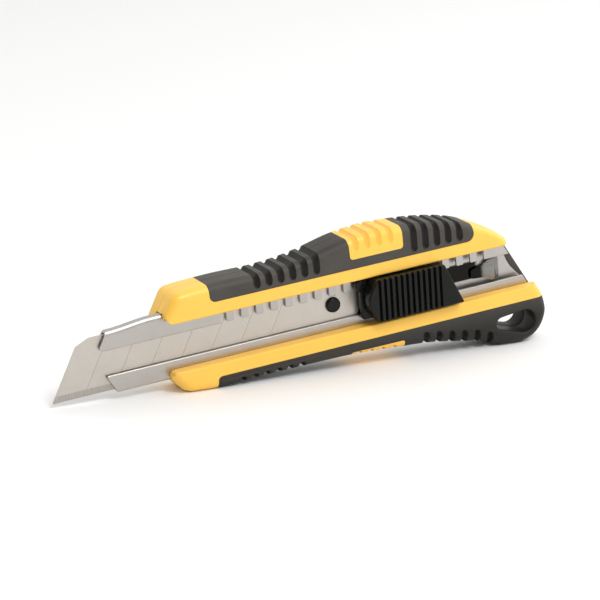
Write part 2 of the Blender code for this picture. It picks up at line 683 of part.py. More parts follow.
def make_stop_clip(parent, mat):
    """The bent strip at the channel's rear end that stops the slider."""
    back = SHEATH_INNER_BACK - FIT_GAP
    front = back - STOP_HEIGHT
    start, end = [REAR_FOOT_X - setback for setback in STOP_SETBACK]
    crest = [end - setback for setback in STOP_CREST]
    slim = STOP_STRIP * 0.7
    outer = [(start, back), (start, back - STOP_STRIP), (crest[0] - STOP_RAMP, back - STOP_STRIP),
             (crest[0], front), (crest[1], front), (end, back)]
    inner = [(end - STOP_STRIP - slim / 2, back), (crest[1] - slim, front + STOP_STRIP),
             (crest[0] + slim, front + STOP_STRIP), (crest[0] - STOP_RAMP + slim, back)]
    top_z = UPPER_LIP_Z - STOP_LIP_GAP
    bm = extruded([(x, y, STOP_LOW_Z) for x, y in outer + inner], (0, 0, top_z - STOP_LOW_Z))
    return finish(new_object("slider_stop", bm), mat, parent)


def make_blade(parent, mat, origin):
    """The snap-off blade: a slanted plate with a ground edge, a clipped corner and a pin hole."""
    lean = 1.0 / math.tan(BLADE_ANGLE)
    clip_z = BLADE_WIDTH - BLADE_CLIP
    outline = [(0.0, 0.0), (BLADE_LENGTH, 0.0), (BLADE_LENGTH + BLADE_WIDTH * lean, BLADE_WIDTH),
               (BLADE_WIDTH * lean + BLADE_CLIP, BLADE_WIDTH), (clip_z * lean, clip_z)]
    bm = prism_mesh(outline, -BLADE_THICKNESS / 2, BLADE_THICKNESS / 2)
    bmesh.ops.bisect_plane(bm, geom=bm.verts[:] + bm.edges[:] + bm.faces[:],
                           plane_co=(0, 0, BLADE_GRIND), plane_no=(0, 0, 1), dist=1e-5)
    for vert in bm.verts:
        if vert.co.z < SIDE_EPSILON:
            vert.co.y *= EDGE_SHARE
    blade = new_object("blade", bm)
    boolean(blade, guide(cylinder("blade_hole_cutter", PIN_RADIUS + PIN_GAP, -FAR, FAR)), "DIFFERENCE")
    return finish(blade, mat, parent, origin)


def make_carrier(parent, mat, origin):
    """The slider's carrier: a plate in the sheath, a tongue with the pin, a neck and a flange."""
    lean = 1.0 / math.tan(BLADE_ANGLE)
    low = SHEATH_FLOOR_Z + FIT_GAP
    high = SHEATH_INNER_TOP - SLIDE_GAP
    front = BLADE_LENGTH + 2 * FIT_GAP
    plate = [(front + low * lean, low), (CARRIER_REAR, low), (CARRIER_REAR, high),
             (front + high * lean, high)]
    carrier = prism("blade_carrier", plate, CARRIER_FRONT_Y, CARRIER_BACK_Y)
    tongue = box("tongue_form", (PIN_X - TONGUE_FRONT, TONGUE_FACE_Y, TONGUE_Z),
                 (TONGUE_REAR, CARRIER_BACK_Y - TONGUE_STEP, UPPER_RAIL_Z - TONGUE_RAIL_GAP))
    neck_side = [(front + NECK_Z[0] * lean, NECK_Z[0]), (NECK_REAR, NECK_Z[0]),
                 (NECK_REAR, NECK_Z[1]), (front + NECK_Z[1] * lean, NECK_Z[1])]
    neck = prism("neck_form", neck_side, FLANGE_BACK_Y - JOIN, TONGUE_FACE_Y + JOIN)
    flange = box("flange_form", (FLANGE_X[0], FLANGE_FRONT_Y, FLANGE_Z[0]),
                 (FLANGE_X[1], FLANGE_BACK_Y, FLANGE_Z[1]))
    pin = cylinder("pin_form", PIN_RADIUS, -BLADE_THICKNESS / 2 - PIN_PROUD, TONGUE_FACE_Y + JOIN)
    for form in (tongue, neck, flange, pin):
        boolean(carrier, guide(form), "UNION")
    seat = box("spring_seat_cutter", (SPRING_ROOT_X - FIT_GAP, -FAR, SPRING_Z - FIT_GAP),
               (TOOTH_X + TOOTH_BASE / 2 + SPRING_END + FIT_GAP, SPRING_NEAR_Y + FIT_GAP, FAR))
    boolean(carrier, guide(seat), "DIFFERENCE")
    key = box("key_slot_cutter", (KEY_X[0] - KNOB_SHIFT - FIT_GAP, -FAR, KEY_Z[0] - FIT_GAP),
              (KEY_X[1] + KNOB_SHIFT + FIT_GAP, KEY_FLOOR_Y, KEY_Z[1] + FIT_GAP))
    boolean(carrier, guide(key), "DIFFERENCE")
    return finish(carrier, mat, parent, origin)


def make_knob(parent, mat, origin):
    """The ribbed thumb knob, with the key that joins it to the carrier's flange."""
    middle = (KNOB_Z[0] + KNOB_Z[1]) / 2
    slant = REAR_SLOPE * (KNOB_Z[1] - KNOB_Z[0])
    half = (KNOB_Z[1] - KNOB_Z[0]) / 2
    bow_steps = 6
    bow = []
    for step in range(bow_steps + 1):
        share = -1.0 + 2.0 * step / bow_steps
        bow.append((KNOB_X[0] + KNOB_BOW * share * share, middle - half * share))
    heel = (KNOB_X[1], KNOB_Z[0])
    crown = (KNOB_X[1] - slant, KNOB_Z[1])
    heel_arc = fillet(bow[-1], heel, crown, KNOB_CORNER)
    crown_arc = fillet(heel, crown, bow[0], KNOB_CORNER)
    bm = prism_mesh(bow + heel_arc + crown_arc, KNOB_FACE_Y, KNOB_BACK_Y)
    bmesh.ops.bevel(bm, geom=rims_at(bm, [KNOB_FACE_Y]), offset=KNOB_ROUND, affect="EDGES",
                    segments=2, profile=0.5, clamp_overlap=False, material=-1)
    knob = new_object("slider_knob", bm)
    key = box("key_form", (KEY_X[0], KNOB_BACK_Y - JOIN, KEY_Z[0]),
              (KEY_X[1], KEY_FLOOR_Y - FIT_GAP, KEY_Z[1]))
    boolean(knob, guide(key), "UNION")
    valleys = bmesh.new()
    for index in range(KNOB_RIBS):
        x = KNOB_RIB_START + KNOB_RIB_PITCH * index
        add_box(valleys, (x - KNOB_RIB_PITCH / 4, -FAR, -FAR),
                (x + KNOB_RIB_PITCH / 4, KNOB_FACE_Y + KNOB_RIB_DEPTH, FAR))
    boolean(knob, guide(new_object("knob_rib_cutter", valleys)), "DIFFERENCE")
    return finish(knob, mat, parent, origin)


def make_lock_spring(parent, mat, origin):
    """The leaf under the knob, whose tooth rises into the comb."""
    peak = UPPER_LIP_Z - TOOTH_CLEARANCE
    base = SPRING_Z + SPRING_STRIP
    half_base = TOOTH_BASE / 2
    half_top = TOOTH_TOP / 2
    end_x = TOOTH_X + half_base + SPRING_END
    outline = [(SPRING_ROOT_X, SPRING_Z), (TOOTH_X - half_base + SPRING_STRIP, SPRING_Z),
               (TOOTH_X - half_top + SPRING_STRIP / 2, peak - SPRING_STRIP),
               (TOOTH_X + half_top - SPRING_STRIP / 2, peak - SPRING_STRIP),
               (TOOTH_X + half_base - SPRING_STRIP, SPRING_Z), (end_x, SPRING_Z), (end_x, base),
               (TOOTH_X + half_base, base), (TOOTH_X + half_top, peak), (TOOTH_X - half_top, peak),
               (TOOTH_X - half_base, base), (SPRING_ROOT_X, base)]
    spring = prism("lock_spring", outline, SPRING_NEAR_Y - SPRING_WIDTH, SPRING_NEAR_Y)
    return finish(spring, mat, parent, origin)


def main():
    clear_scene()
    outline = body_outline()
    stance = make_stance(outline)
    pin_place = (PIN_X, 0.0, PIN_Z)
    slider = new_empty("slider_axis", pin_place, stance)
    knob_place = ((KEY_X[0] + KEY_X[1]) / 2, KNOB_BACK_Y, (KEY_Z[0] + KEY_Z[1]) / 2)
    knob_axis = new_empty("knob_axis", knob_place, slider)
    spring_place = (SPRING_ROOT_X, 0.0, SPRING_Z)
    spring_axis = new_empty("spring_axis", spring_place, slider)

    yellow = material("body_plastic", (1.0, 0.68, 0.15), 0.42)
    soft_black = material("grip_rubber", (0.035, 0.034, 0.033), 0.7)
    hard_black = material("slider_plastic", (0.018, 0.018, 0.019), 0.4)
    steel = material("sheath_steel", (0.62, 0.6, 0.58), 0.34, 1.0)
    bright_steel = material("spring_steel", (0.7, 0.69, 0.67), 0.2, 1.0)
    blade_steel = material("blade_steel", (0.66, 0.63, 0.6), 0.36, 1.0)

    channel_cutter()
    make_body(outline, stance, yellow)
    make_upper_grip(outline, stance, soft_black)
    make_lower_grip(outline, stance, soft_black)
    make_back_grip(outline, stance, soft_black)
    make_sheath(stance, steel)
    make_stop_clip(stance, bright_steel)
    make_blade(slider, blade_steel, pin_place)
    make_carrier(slider, hard_black, pin_place)
    make_knob(knob_axis, hard_black, knob_place)
    make_lock_spring(spring_axis, bright_steel, spring_place)


main()
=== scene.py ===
"""Snap-off utility knife: its finished surfaces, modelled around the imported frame.

Every piece is modelled in the knife's own frame, in millimetres: X runs from the blade's tip to the rear
end, Y from the slider's side to the back, Z from the cutting edge up to the spine. When a piece is done,
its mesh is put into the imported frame, where the knife stands on its belly with its rear raised.
"""
import json
import math

import bmesh
import bpy
from mathutils import Matrix, Vector


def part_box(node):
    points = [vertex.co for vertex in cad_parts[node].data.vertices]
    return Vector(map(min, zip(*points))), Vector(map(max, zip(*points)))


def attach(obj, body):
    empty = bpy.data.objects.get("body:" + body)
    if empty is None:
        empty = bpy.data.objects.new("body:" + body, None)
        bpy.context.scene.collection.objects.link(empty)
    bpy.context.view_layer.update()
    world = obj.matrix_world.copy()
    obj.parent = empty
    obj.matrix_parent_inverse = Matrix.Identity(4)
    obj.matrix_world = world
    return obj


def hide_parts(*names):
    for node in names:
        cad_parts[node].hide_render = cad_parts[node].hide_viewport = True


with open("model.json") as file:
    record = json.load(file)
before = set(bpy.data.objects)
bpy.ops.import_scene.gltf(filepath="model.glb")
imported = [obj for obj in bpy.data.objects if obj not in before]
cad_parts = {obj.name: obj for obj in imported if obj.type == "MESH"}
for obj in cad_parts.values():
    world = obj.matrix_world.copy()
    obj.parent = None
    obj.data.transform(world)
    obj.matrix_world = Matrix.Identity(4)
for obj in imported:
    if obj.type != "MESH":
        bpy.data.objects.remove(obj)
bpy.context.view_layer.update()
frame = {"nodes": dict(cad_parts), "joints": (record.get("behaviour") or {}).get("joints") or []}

bl_info = {
    "name": "Snap-off Utility Knife",
    "version": (1, 0, 0),
    "blender": (4, 5, 0),
    "location": "View3D > Sidebar > Knife",
    "description": "Models a snap-off utility knife around its packed frame",
    "category": "Object",
}

MM = 0.001
FAR = 60.0

# The knife's own frame: the blade's tip is its origin and the blade's travel is its X axis.
SLIDE_AXIS = next(joint["axis"] for joint in frame["joints"] if joint["name"] == "blade_slide")
TILT = math.atan2(SLIDE_AXIS[2], SLIDE_AXIS[0])
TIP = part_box("blade")[0]
KNIFE = (Matrix.Translation((TIP.x, 0.0, TIP.z)) @ Matrix.Rotation(-TILT, 4, "Y")
         @ Matrix.Scale(MM, 4))


def knife_box(node):
    """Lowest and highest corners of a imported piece, in the knife's frame."""
    back = KNIFE.inverted()
    points = [back @ vert.co for vert in frame["nodes"][node].data.vertices]
    low = Vector(min(point[axis] for point in points) for axis in range(3))
    high = Vector(max(point[axis] for point in points) for axis in range(3))
    return low, high


BODY_LOW, BODY_HIGH = knife_box("body_shell")
KNOB_LOW, KNOB_HIGH = knife_box("slider_knob")
SHEATH_LOW, SHEATH_HIGH = knife_box("blade_sheath")
STOP_LOW, STOP_HIGH = knife_box("slider_stop")
BLADE_HIGH = knife_box("blade")[1]
CARRIER_HIGH = knife_box("blade_carrier")[1]

# Body: its section and its side outline, whose curves go through the knots listed here.
FRONT_Y = BODY_LOW.y
BACK_Y = BODY_HIGH.y
MIDDLE_Y = (FRONT_Y + BACK_Y) / 2
UPPER_RAIL_Z = 17.5
LOWER_RAIL_Z = 2.1
NOSE_X = BODY_LOW.x
JAW_FRONT = 36.6
FRONT_PAD = [(43.6, -5.51), (50.2, -6.14)]
REAR_PAD = [(152.0, -15.78), (160.0, -16.54)]
NOSE_TOP = (40.8, 26.5)
NOSE_ROUND = 3.8
HEEL_ROUND = 3.0
SPINE = [(46.0, 26.9), (58.0, 27.2), (70.0, 27.0), (80.0, 27.6), (88.0, 28.8), (97.0, 30.8),
         (104.0, 31.8), (111.0, 32.2), (118.0, 31.8), (126.0, 31.1), (134.0, 29.8), (141.0, 28.0),
         (147.0, 25.6), (152.5, 22.7)]
HEEL = (156.8, 19.4)
TAIL = [(168.3, -1.0), (169.3, -4.6), (169.4, -8.2), (167.5, -12.4), (164.2, -15.2)]
BELLY = [(148.4, -14.3), (143.5, -12.4), (138.0, -11.3), (131.0, -9.8), (125.0, -8.8), (115.0, -7.9),
         (106.0, -7.1), (97.0, -6.5), (87.0, -6.3), (76.0, -6.2), (65.0, -6.2), (56.0, -6.3)]
JAW = [(41.4, -4.5), (39.4, -2.2)]
REAR_SLOPE = 0.562
REAR_FOOT_X = 167.7
NOSE_CORNER = 2.6
JAW_CORNER = 1.6
HEEL_CORNER = 2.0
REAR_END_ROUND = 3.2
POCKET_GAP = 0.12
RAIL_ROUND = 0.55
SEAM_HALF = 0.07

# Soft grips.
UPPER_GRIP = (51.9, 144.2)
UPPER_GRIP_Z = 21.75
UPPER_WINDOW = (98.6, 118.8)
UPPER_WINDOW_Z = 24.8
LOWER_GRIP_X = 52.2
LOWER_GRIP_Z = -2.2
LOWER_WINDOW = (97.2, 117.0)
LOWER_WINDOW_Z = -5.4
BLOCK_X = 146.0
BACK_PANEL_X = 60.0
BACK_PANEL_Z = (3.4, 16.2)
REAR_STRIP = 3.4
GRIP_DEPTH = 1.5
GRIP_GAP = 0.06

# Finger grooves: first place and count of each row. A groove's end is rounded by stations, each a place
# along the end and the share of the full section there.
GROOVE_PITCH = 4.08
FRONT_GROOVES = (68.0, 6)
WINDOW_GROOVES = (102.4, 4)
REAR_GROOVES = (122.7, 5)
BELLY_NOTCHES = (60.6, 6)
WINDOW_NOTCHES = (101.2, 4)
TAIL_NOTCHES = (124.7, 6)
TAIL_NOTCH_PITCH = 4.58
GROOVE_FOOT_Z = 22.75
WINDOW_FOOT_Z = 27.3
GROOVE_STEP = 0.45
GROOVE_END = ((0.0, 0.12), (0.15, 0.55), (0.45, 0.82), (0.8, 0.96))

# Hang hole.
HOLE_FRONT = Vector((152.6, -8.3))
HOLE_FRONT_RADIUS = 2.0
HOLE_REAR = Vector((160.9, -9.2))
HOLE_REAR_RADIUS = 3.7
HOLE_RIM = 0.9

# Sheath.
WALL = 0.8
LIP_Y = SHEATH_LOW.y
SHEATH_BACK_Y = SHEATH_HIGH.y
SHEATH_BOTTOM = SHEATH_LOW.z
SHEATH_TOP = 19.2
SHEATH_RISE = SHEATH_HIGH.z - SHEATH_TOP
SHEATH_RISE_X = (19.5, 34.5)
SHEATH_BEND = 1.0
SHEATH_FOLD = 1.7
LOWER_LIP_Z = 5.0
UPPER_LIP_Z = 13.1
LIP_ROUND = 0.34
SHEATH_FRONT = 17.6
LOWER_SLANT = 3.4
LIP_SLANT = 1.9
UPPER_SLANT = 1.7
SHEATH_SETBACK = 1.7
SHEATH_REAR_CUT = [(17.0, 1.6), (15.0, 2.0), (12.5, 2.5), (10.0, 2.9), (8.0, 2.9), (6.0, 2.3), (4.0, 1.6)]
COMB_START = 56.7
COMB_FIRST_TAB = 58.6
COMB_PITCH = 5.05
COMB_TAB = 2.45
COMB_TOP = 17.7
COMB_ROUND = 0.62

# Blade.
BLADE_LENGTH = 100.5
BLADE_WIDTH = BLADE_HIGH.z
BLADE_LEAN = 1 / math.tan(math.radians(60.0))
BLADE_CLIP = 3.4
BLADE_CLIP_HEIGHT = 2.0
BLADE_GRIND = 2.2
SCORE_PITCH = 10.0
SCORE_COUNT = 8
PIN_X = BLADE_LENGTH + 10.0 * BLADE_LEAN - 11.0
PIN_Z = 10.0
PIN_RADIUS = 2.2

# Carrier: a plate in the sheath, a tongue behind the blade, a neck through the slot and a flange in front.
CARRIER_CLEARANCE = 0.25
CARRIER_REAR = 124.8
TONGUE_REAR = 118.0
TONGUE_Z = (4.2, 15.6)
TONGUE_GAP = 0.2
NECK_REAR = 124.0
NECK_CLEARANCE = 0.35
FLANGE_X = (102.6, 134.0)
FLANGE_THICKNESS = 1.7
FLANGE_Y = LIP_Y - NECK_CLEARANCE
SPRING_SEAT_X = (106.1, 120.0)
SPRING_SEAT_Z = 10.95
KEY_SLOT = ((121.1, 6.3), (129.7, 11.7))

# Knob.
KNOB_BACK_Y = -3.75
KNOB_BOW = 3.2
KNOB_REAR_SLOPE = 6.2
KNOB_KEY = ((122.6, 6.6), (128.2, 11.4))
RIB_COUNT = 12
RIB_PITCH = 1.96
FIRST_VALLEY_X = 107.7

# Camera and lights, in metres: each softbox has a place, a size and a power in watts.
VIEW_AZIMUTH = math.radians(26.39)
VIEW_ELEVATION = math.radians(16.29)
VIEW_DISTANCE = 0.811
VIEW_TARGET = Vector((-0.0131, -0.0223, 0.0305))
VIEW_LENS = 162.0
SOFTBOX_AIM = Vector((0.0, 0.0, 0.02))
SOFTBOXES = {"key_softbox": (Vector((0.1, -0.7, 0.95)), 0.45, 6.0),
             "right_softbox": (Vector((0.9, 0.1, 0.6)), 0.8, 3.0)}


class KnifeSizes(bpy.types.PropertyGroup):
    """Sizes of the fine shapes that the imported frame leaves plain."""
    edge_round: bpy.props.FloatProperty(
        name="Body rounding", description="Radius of the moulded body's long edges",
        default=2.8 * MM, unit="LENGTH", precision=5)
    groove_width: bpy.props.FloatProperty(
        name="Groove width", description="Width of a finger groove in the soft grip",
        default=2.4 * MM, unit="LENGTH", precision=5)
    groove_depth: bpy.props.FloatProperty(
        name="Groove depth", description="Depth of a finger groove",
        default=1.3 * MM, unit="LENGTH", precision=5)
    seam_depth: bpy.props.FloatProperty(
        name="Parting line depth", description="Depth of the mould's parting line",
        default=0.1 * MM, unit="LENGTH", precision=5)
    crease: bpy.props.FloatProperty(
        name="Crease rounding", description="Radius left on the moulded pieces' creases",
        default=0.16 * MM, unit="LENGTH", precision=5)
    rib_depth: bpy.props.FloatProperty(
        name="Rib depth", description="Depth of the valleys between the knob's ribs",
        default=1.0 * MM, unit="LENGTH", precision=5)
    score_depth: bpy.props.FloatProperty(
        name="Score depth", description="Depth of the blade's snap lines",
        default=0.09 * MM, unit="LENGTH", precision=5)


def colour(name, description, value):
    return bpy.props.FloatVectorProperty(name=name, description=description, subtype="COLOR", size=4,
                                         min=0.0, max=1.0, default=(*value, 1.0))


class KnifeColours(bpy.types.PropertyGroup):
    """Base colours of the knife's materials."""
    body: colour("Body", "Moulded plastic of the body", (1.0, 0.58, 0.082))
    grip: colour("Grip", "Soft rubber of the grips", (0.062, 0.056, 0.048))
    slider: colour("Slider", "Hard plastic of the knob and the carrier", (0.005, 0.005, 0.0045))
    sheath: colour("Sheath", "Rolled steel of the sheath", (0.50, 0.475, 0.45))
    blade: colour("Blade", "Ground steel of the blade", (0.60, 0.56, 0.51))
    stop: colour("Stop", "Polished steel of the stop and the spring", (0.25, 0.243, 0.232))
    floor: colour("Floor", "Table under the knife", (0.90, 0.90, 0.90))


def sizes():
    return bpy.context.scene.knife_sizes


def colours():
    return bpy.context.scene.knife_colours


# Outlines in the knife's XZ plane.

def fillet(before, corner, after, radius, steps=8):
    """Points of an arc that rounds one corner of an outline."""
    corner = Vector(corner)
    to_before = (Vector(before) - corner).normalized()
    to_after = (Vector(after) - corner).normalized()
    half = to_before.angle(to_after) / 2
    reach = radius / math.tan(half)
    centre = corner + (to_before + to_after).normalized() * (radius / math.sin(half))
    start = corner + to_before * reach - centre
    turn = start.angle_signed(corner + to_after * reach - centre)
    points = []
    for step in range(steps + 1):
        spoke = start.copy()
        spoke.rotate(Matrix.Rotation(-turn * step / steps, 2))
        points.append(tuple(centre + spoke))
    return points


def rounded(corners, steps=6):
    """Outline from corners, each (x, z) or (x, z, radius)."""
    points = []
    for index, corner in enumerate(corners):
        if len(corner) < 3:
            points.append(tuple(corner))
            continue
        after = corners[(index + 1) % len(corners)]
        points.extend(fillet(corners[index - 1][:2], corner[:2], after[:2], corner[2], steps))
    return points


def smooth_curve(knots, steps=5):
    """Catmull-Rom points through the knots, ends included."""
    padded = [knots[0]] + list(knots) + [knots[-1]]
    points = []
    for i in range(1, len(padded) - 2):
        p0, p1, p2, p3 = [Vector(p) for p in padded[i - 1:i + 3]]
        for step in range(steps):
            t = step / steps
            point = 0.5 * (2 * p1 + (p2 - p0) * t + (2 * p0 - 5 * p1 + 4 * p2 - p3) * t * t
                           + (3 * p1 - p0 - 3 * p2 + p3) * t ** 3)
            points.append(tuple(point))
    points.append(tuple(knots[-1]))
    return points


def inset(outline, distance):
    """The outline moved inwards, point by point."""
    moved = []
    for index, point in enumerate(outline):
        here = Vector(point)
        first = (here - Vector(outline[index - 1])).normalized()
        second = (Vector(outline[(index + 1) % len(outline)]) - here).normalized()
        normal = Vector((-first.y - second.y, first.x + second.x)).normalized()
        stretch = max(normal.dot(Vector((-first.y, first.x))), 0.5)
        moved.append(tuple(here + normal * (distance / stretch)))
    return moved


def body_outline():
    """Side outline of the whole body, from the jaw's front round the belly."""
    belly = smooth_curve([FRONT_PAD[1]] + BELLY[::-1] + [REAR_PAD[0]], 3)
    tail = smooth_curve([REAR_PAD[1]] + TAIL[::-1], 6)
    spine = smooth_curve(SPINE, 4)[::-1]
    heel_arc = fillet(tail[-1], HEEL, spine[0], HEEL_ROUND)
    nose_arc = fillet(spine[-1], NOSE_TOP, (NOSE_X, UPPER_RAIL_Z), NOSE_ROUND)
    front = [(NOSE_X, UPPER_RAIL_Z), (JAW_FRONT, LOWER_RAIL_Z)]
    return front + JAW[::-1] + [FRONT_PAD[0]] + belly + tail + heel_arc + spine + nose_arc


def rear_x(z, setback=0.0):
    """The slanted rear edge, moved forward by a setback."""
    return REAR_FOOT_X - REAR_SLOPE * z - setback


def height_on(curve, x):
    """Height of a curve of knots at one place along the knife."""
    knots = sorted(curve)
    for (x0, z0), (x1, z1) in zip(knots, knots[1:]):
        if x0 <= x <= x1:
            return z0 + (z1 - z0) * (x - x0) / (x1 - x0)
    raise ValueError(f"no knots around x = {x}")


def hole_outline(radius_change=0.0, steps=20):
    """Outline of the hang hole: two circles joined by tangents."""
    small = HOLE_FRONT_RADIUS + radius_change
    large = HOLE_REAR_RADIUS + radius_change
    along = HOLE_REAR - HOLE_FRONT
    heading = math.atan2(along.y, along.x)
    spread = math.acos((small - large) / along.length)
    points = []
    for centre, radius, first, sweep in ((HOLE_FRONT, small, spread, 2 * math.pi - 2 * spread),
                                         (HOLE_REAR, large, -spread, 2 * spread)):
        for step in range(steps + 1):
            angle = heading + first + sweep * step / steps
            points.append((centre.x + radius * math.cos(angle), centre.y + radius * math.sin(angle)))
    return points


# Mesh making.

def new_object(name, bm):
    """Object from a bmesh, which is freed."""
    bmesh.ops.recalc_face_normals(bm, faces=bm.faces)
    mesh = bpy.data.meshes.new(name)
    bm.to_mesh(mesh)
    bm.free()
    obj = bpy.data.objects.new(name, mesh)
    bpy.context.scene.collection.objects.link(obj)
    return obj


def extrude_section(bm, points, step):
    """Adds a closed section of 3D points, extruded by a step."""
    face = bm.faces.new([bm.verts.new(point) for point in points])
    moved = bmesh.ops.extrude_face_region(bm, geom=[face])
    verts = [item for item in moved["geom"] if isinstance(item, bmesh.types.BMVert)]
    bmesh.ops.translate(bm, vec=step, verts=verts)


def extruded(points, step):
    """A bmesh of one extruded section."""
    bm = bmesh.new()
    extrude_section(bm, points, step)
    bmesh.ops.recalc_face_normals(bm, faces=bm.faces)
    return bm


def split_at(bm, axis, level, slack):
    """Cuts a whole bmesh along a plane across an axis."""
    place = Vector()
    place[axis] = level
    normal = Vector()
    normal[axis] = 1.0
    bmesh.ops.bisect_plane(bm, geom=bm.verts[:] + bm.edges[:] + bm.faces[:], plane_co=place,
                           plane_no=normal, dist=slack)


def round_edges(bm, edges, radius, segments):
    """Rounds chosen edges of a bmesh."""
    bmesh.ops.bevel(bm, geom=edges, offset=radius, affect="EDGES", segments=segments, profile=0.5,
                    clamp_overlap=False, material=-1)


def edges_at(bm, axis, levels, slack=1e-5):
    """Edges that lie flat at the given levels of an axis."""
    return [edge for edge in bm.edges
            if any(all(abs(vert.co[axis] - level) < slack for vert in edge.verts) for level in levels)]


def prism(name, outline, y_low, y_high, radius=0.0, segments=8):
    """Outline in XZ, extruded across the knife, its rims rounded if asked."""
    bm = extruded([(x, y_low, z) for x, z in outline], (0, y_high - y_low, 0))
    if radius:
        round_edges(bm, edges_at(bm, 1, (y_low, y_high)), radius, segments)
    return new_object(name, bm)


def block(name, low, high):
    """A box between two corners."""
    bm = bmesh.new()
    size = Vector(high) - Vector(low)
    place = Matrix.Translation((Vector(high) + Vector(low)) / 2) @ Matrix.Diagonal((*size, 1.0))
    bmesh.ops.create_cube(bm, size=1.0, matrix=place)
    return new_object(name, bm)


def join_loops(bm, loops):
    """Bridges loops of edges in order and caps the ends."""
    for first, second in zip(loops, loops[1:]):
        bmesh.ops.bridge_loops(bm, edges=first + second)
    bmesh.ops.edgeloop_fill(bm, edges=loops[0])
    bmesh.ops.edgeloop_fill(bm, edges=loops[-1])


def loft(name, rings):
    """Rings of points with equal counts, bridged in order, with capped ends."""
    bm = bmesh.new()
    loops = []
    for ring in rings:
        verts = [bm.verts.new(point) for point in ring]
        loops.append([bm.edges.new((verts[i - 1], verts[i])) for i in range(len(verts))])
    join_loops(bm, loops)
    return new_object(name, bm)


def groove_tubes(name, paths, half_width, half_depth, lean):
    """Round-ended cutters along paths across the knife; their deepest part leans to the rear."""
    side = Vector((1.0, 0.0, 0.0))
    bm = bmesh.new()
    for path in paths:
        points = [Vector(point) for point in path]
        last = len(points) - 1
        loops = []
        for index, point in enumerate(points):
            ahead = (points[min(index + 1, last)] - points[max(index - 1, 0)]).normalized()
            outward = ahead.cross(side)
            from_end = min(index, last - index)
            share = GROOVE_END[from_end][1] if from_end < len(GROOVE_END) else 1.0
            basis = Matrix((side * half_width * share,
                            (outward * half_depth - side * lean) * share, ahead)).transposed()
            made = bmesh.ops.create_circle(bm, cap_ends=False, segments=20, radius=1.0,
                                           matrix=Matrix.Translation(point) @ basis.to_4x4())
            loops.append(list({edge for vert in made["verts"] for edge in vert.link_edges}))
        join_loops(bm, loops)
    return new_object(name, bm)


def place_along(curve, distance):
    """The point at a distance along a curve of points."""
    for first, second in zip(curve, curve[1:]):
        length = (second - first).length
        if distance <= length:
            return tuple(first.lerp(second, distance / length))
        distance -= length
    raise ValueError("the curve is shorter than that")


def section_path(edge_z, foot_z, end):
    """Points (y, z) round the body's section, from a foot on the front face over an edge to the back."""
    way = 1.0 if edge_z > foot_z else -1.0
    radius = sizes().edge_round / MM
    arc_start = edge_z - way * radius
    curve = []
    if way * (arc_start - foot_z) > 0:
        curve.append(Vector((FRONT_Y, foot_z)))
    for step in range(25):
        angle = math.pi / 2 * step / 24
        point = Vector((FRONT_Y + radius * (1 - math.cos(angle)), arc_start + way * radius * math.sin(angle)))
        if way * (point.y - foot_z) > 0:
            curve.append(point)
    curve.append(Vector((MIDDLE_Y, edge_z)))
    total = sum((second - first).length for first, second in zip(curve, curve[1:]))
    steps = round((total - end) / GROOVE_STEP)
    distances = [place * end for place, share in GROOVE_END]
    distances += [end + (total - end) * step / steps for step in range(1, steps)]
    half = [place_along(curve, distance) for distance in distances]
    mirrored = [(2 * MIDDLE_Y - y, z) for y, z in reversed(half)]
    return half + [tuple(curve[-1])] + mirrored


def groove_row(first_x, count, pitch, edge, foot):
    """Cutter paths of a row of grooves; edge and foot give heights at a place along the knife."""
    end = sizes().groove_width / MM / 2
    places = [first_x + pitch * index for index in range(count)]
    return [[(x, y, z) for y, z in section_path(edge(x), foot(x), end)] for x in places]


def replace_mesh(obj):
    """Bakes an object's modifiers into its mesh."""
    bpy.context.view_layer.update()
    graph = bpy.context.evaluated_depsgraph_get()
    mesh = bpy.data.meshes.new_from_object(obj.evaluated_get(graph))
    obj.modifiers.clear()
    old = obj.data
    obj.data = mesh
    bpy.data.meshes.remove(old)


def carve(obj, tool, operation="DIFFERENCE"):
    """Cuts, joins or intersects a piece with a tool, which is used up."""
    modifier = obj.modifiers.new("carve", "BOOLEAN")
    modifier.operation = operation
    modifier.object = tool
    modifier.solver = "EXACT"
    replace_mesh(obj)
    used = tool.data
    bpy.data.objects.remove(tool)
    bpy.data.meshes.remove(used)
    if not obj.data.polygons:
        raise RuntimeError(f"{obj.name}: nothing is left after carving")


def weld(obj, distance=0.004):
    """Merges points that a cut has left almost on top of each other."""
    bm = bmesh.new()
    bm.from_mesh(obj.data)
    bmesh.ops.remove_doubles(bm, verts=bm.verts, dist=distance)
    bm.to_mesh(obj.data)
    bm.free()


def soften(obj, radius, angle=40.0):
    """Rounds the creases that carving leaves."""
    modifier = obj.modifiers.new("soften", "BEVEL")
    modifier.width = radius
    modifier.segments = 2
    modifier.limit_method = "ANGLE"
    modifier.angle_limit = math.radians(angle)
    modifier.use_clamp_overlap = True
    modifier.miter_outer = "MITER_ARC"
    replace_mesh(obj)


def finish_piece(obj, mat, body, node, smooth_angle=32.0):
    """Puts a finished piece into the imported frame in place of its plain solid."""
    obj.data.transform(KNIFE)
    obj.data.materials.clear()
    obj.data.materials.append(mat)
    obj.data.shade_smooth()
    obj.data.set_sharp_from_angle(angle=math.radians(smooth_angle))
    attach(obj, body)
    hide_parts(node)


# Tools that cut more than one piece.

def body_form(name):
    """The whole body's outer form, before anything is cut from it."""
    return prism(name, body_outline(), FRONT_Y, BACK_Y, sizes().edge_round / MM)


def core_form(name, depth):
    """The body's inner form under the soft grips."""
    radius = sizes().edge_round / MM - depth
    return prism(name, inset(body_outline(), depth), FRONT_Y + depth, BACK_Y - depth, radius, 4)


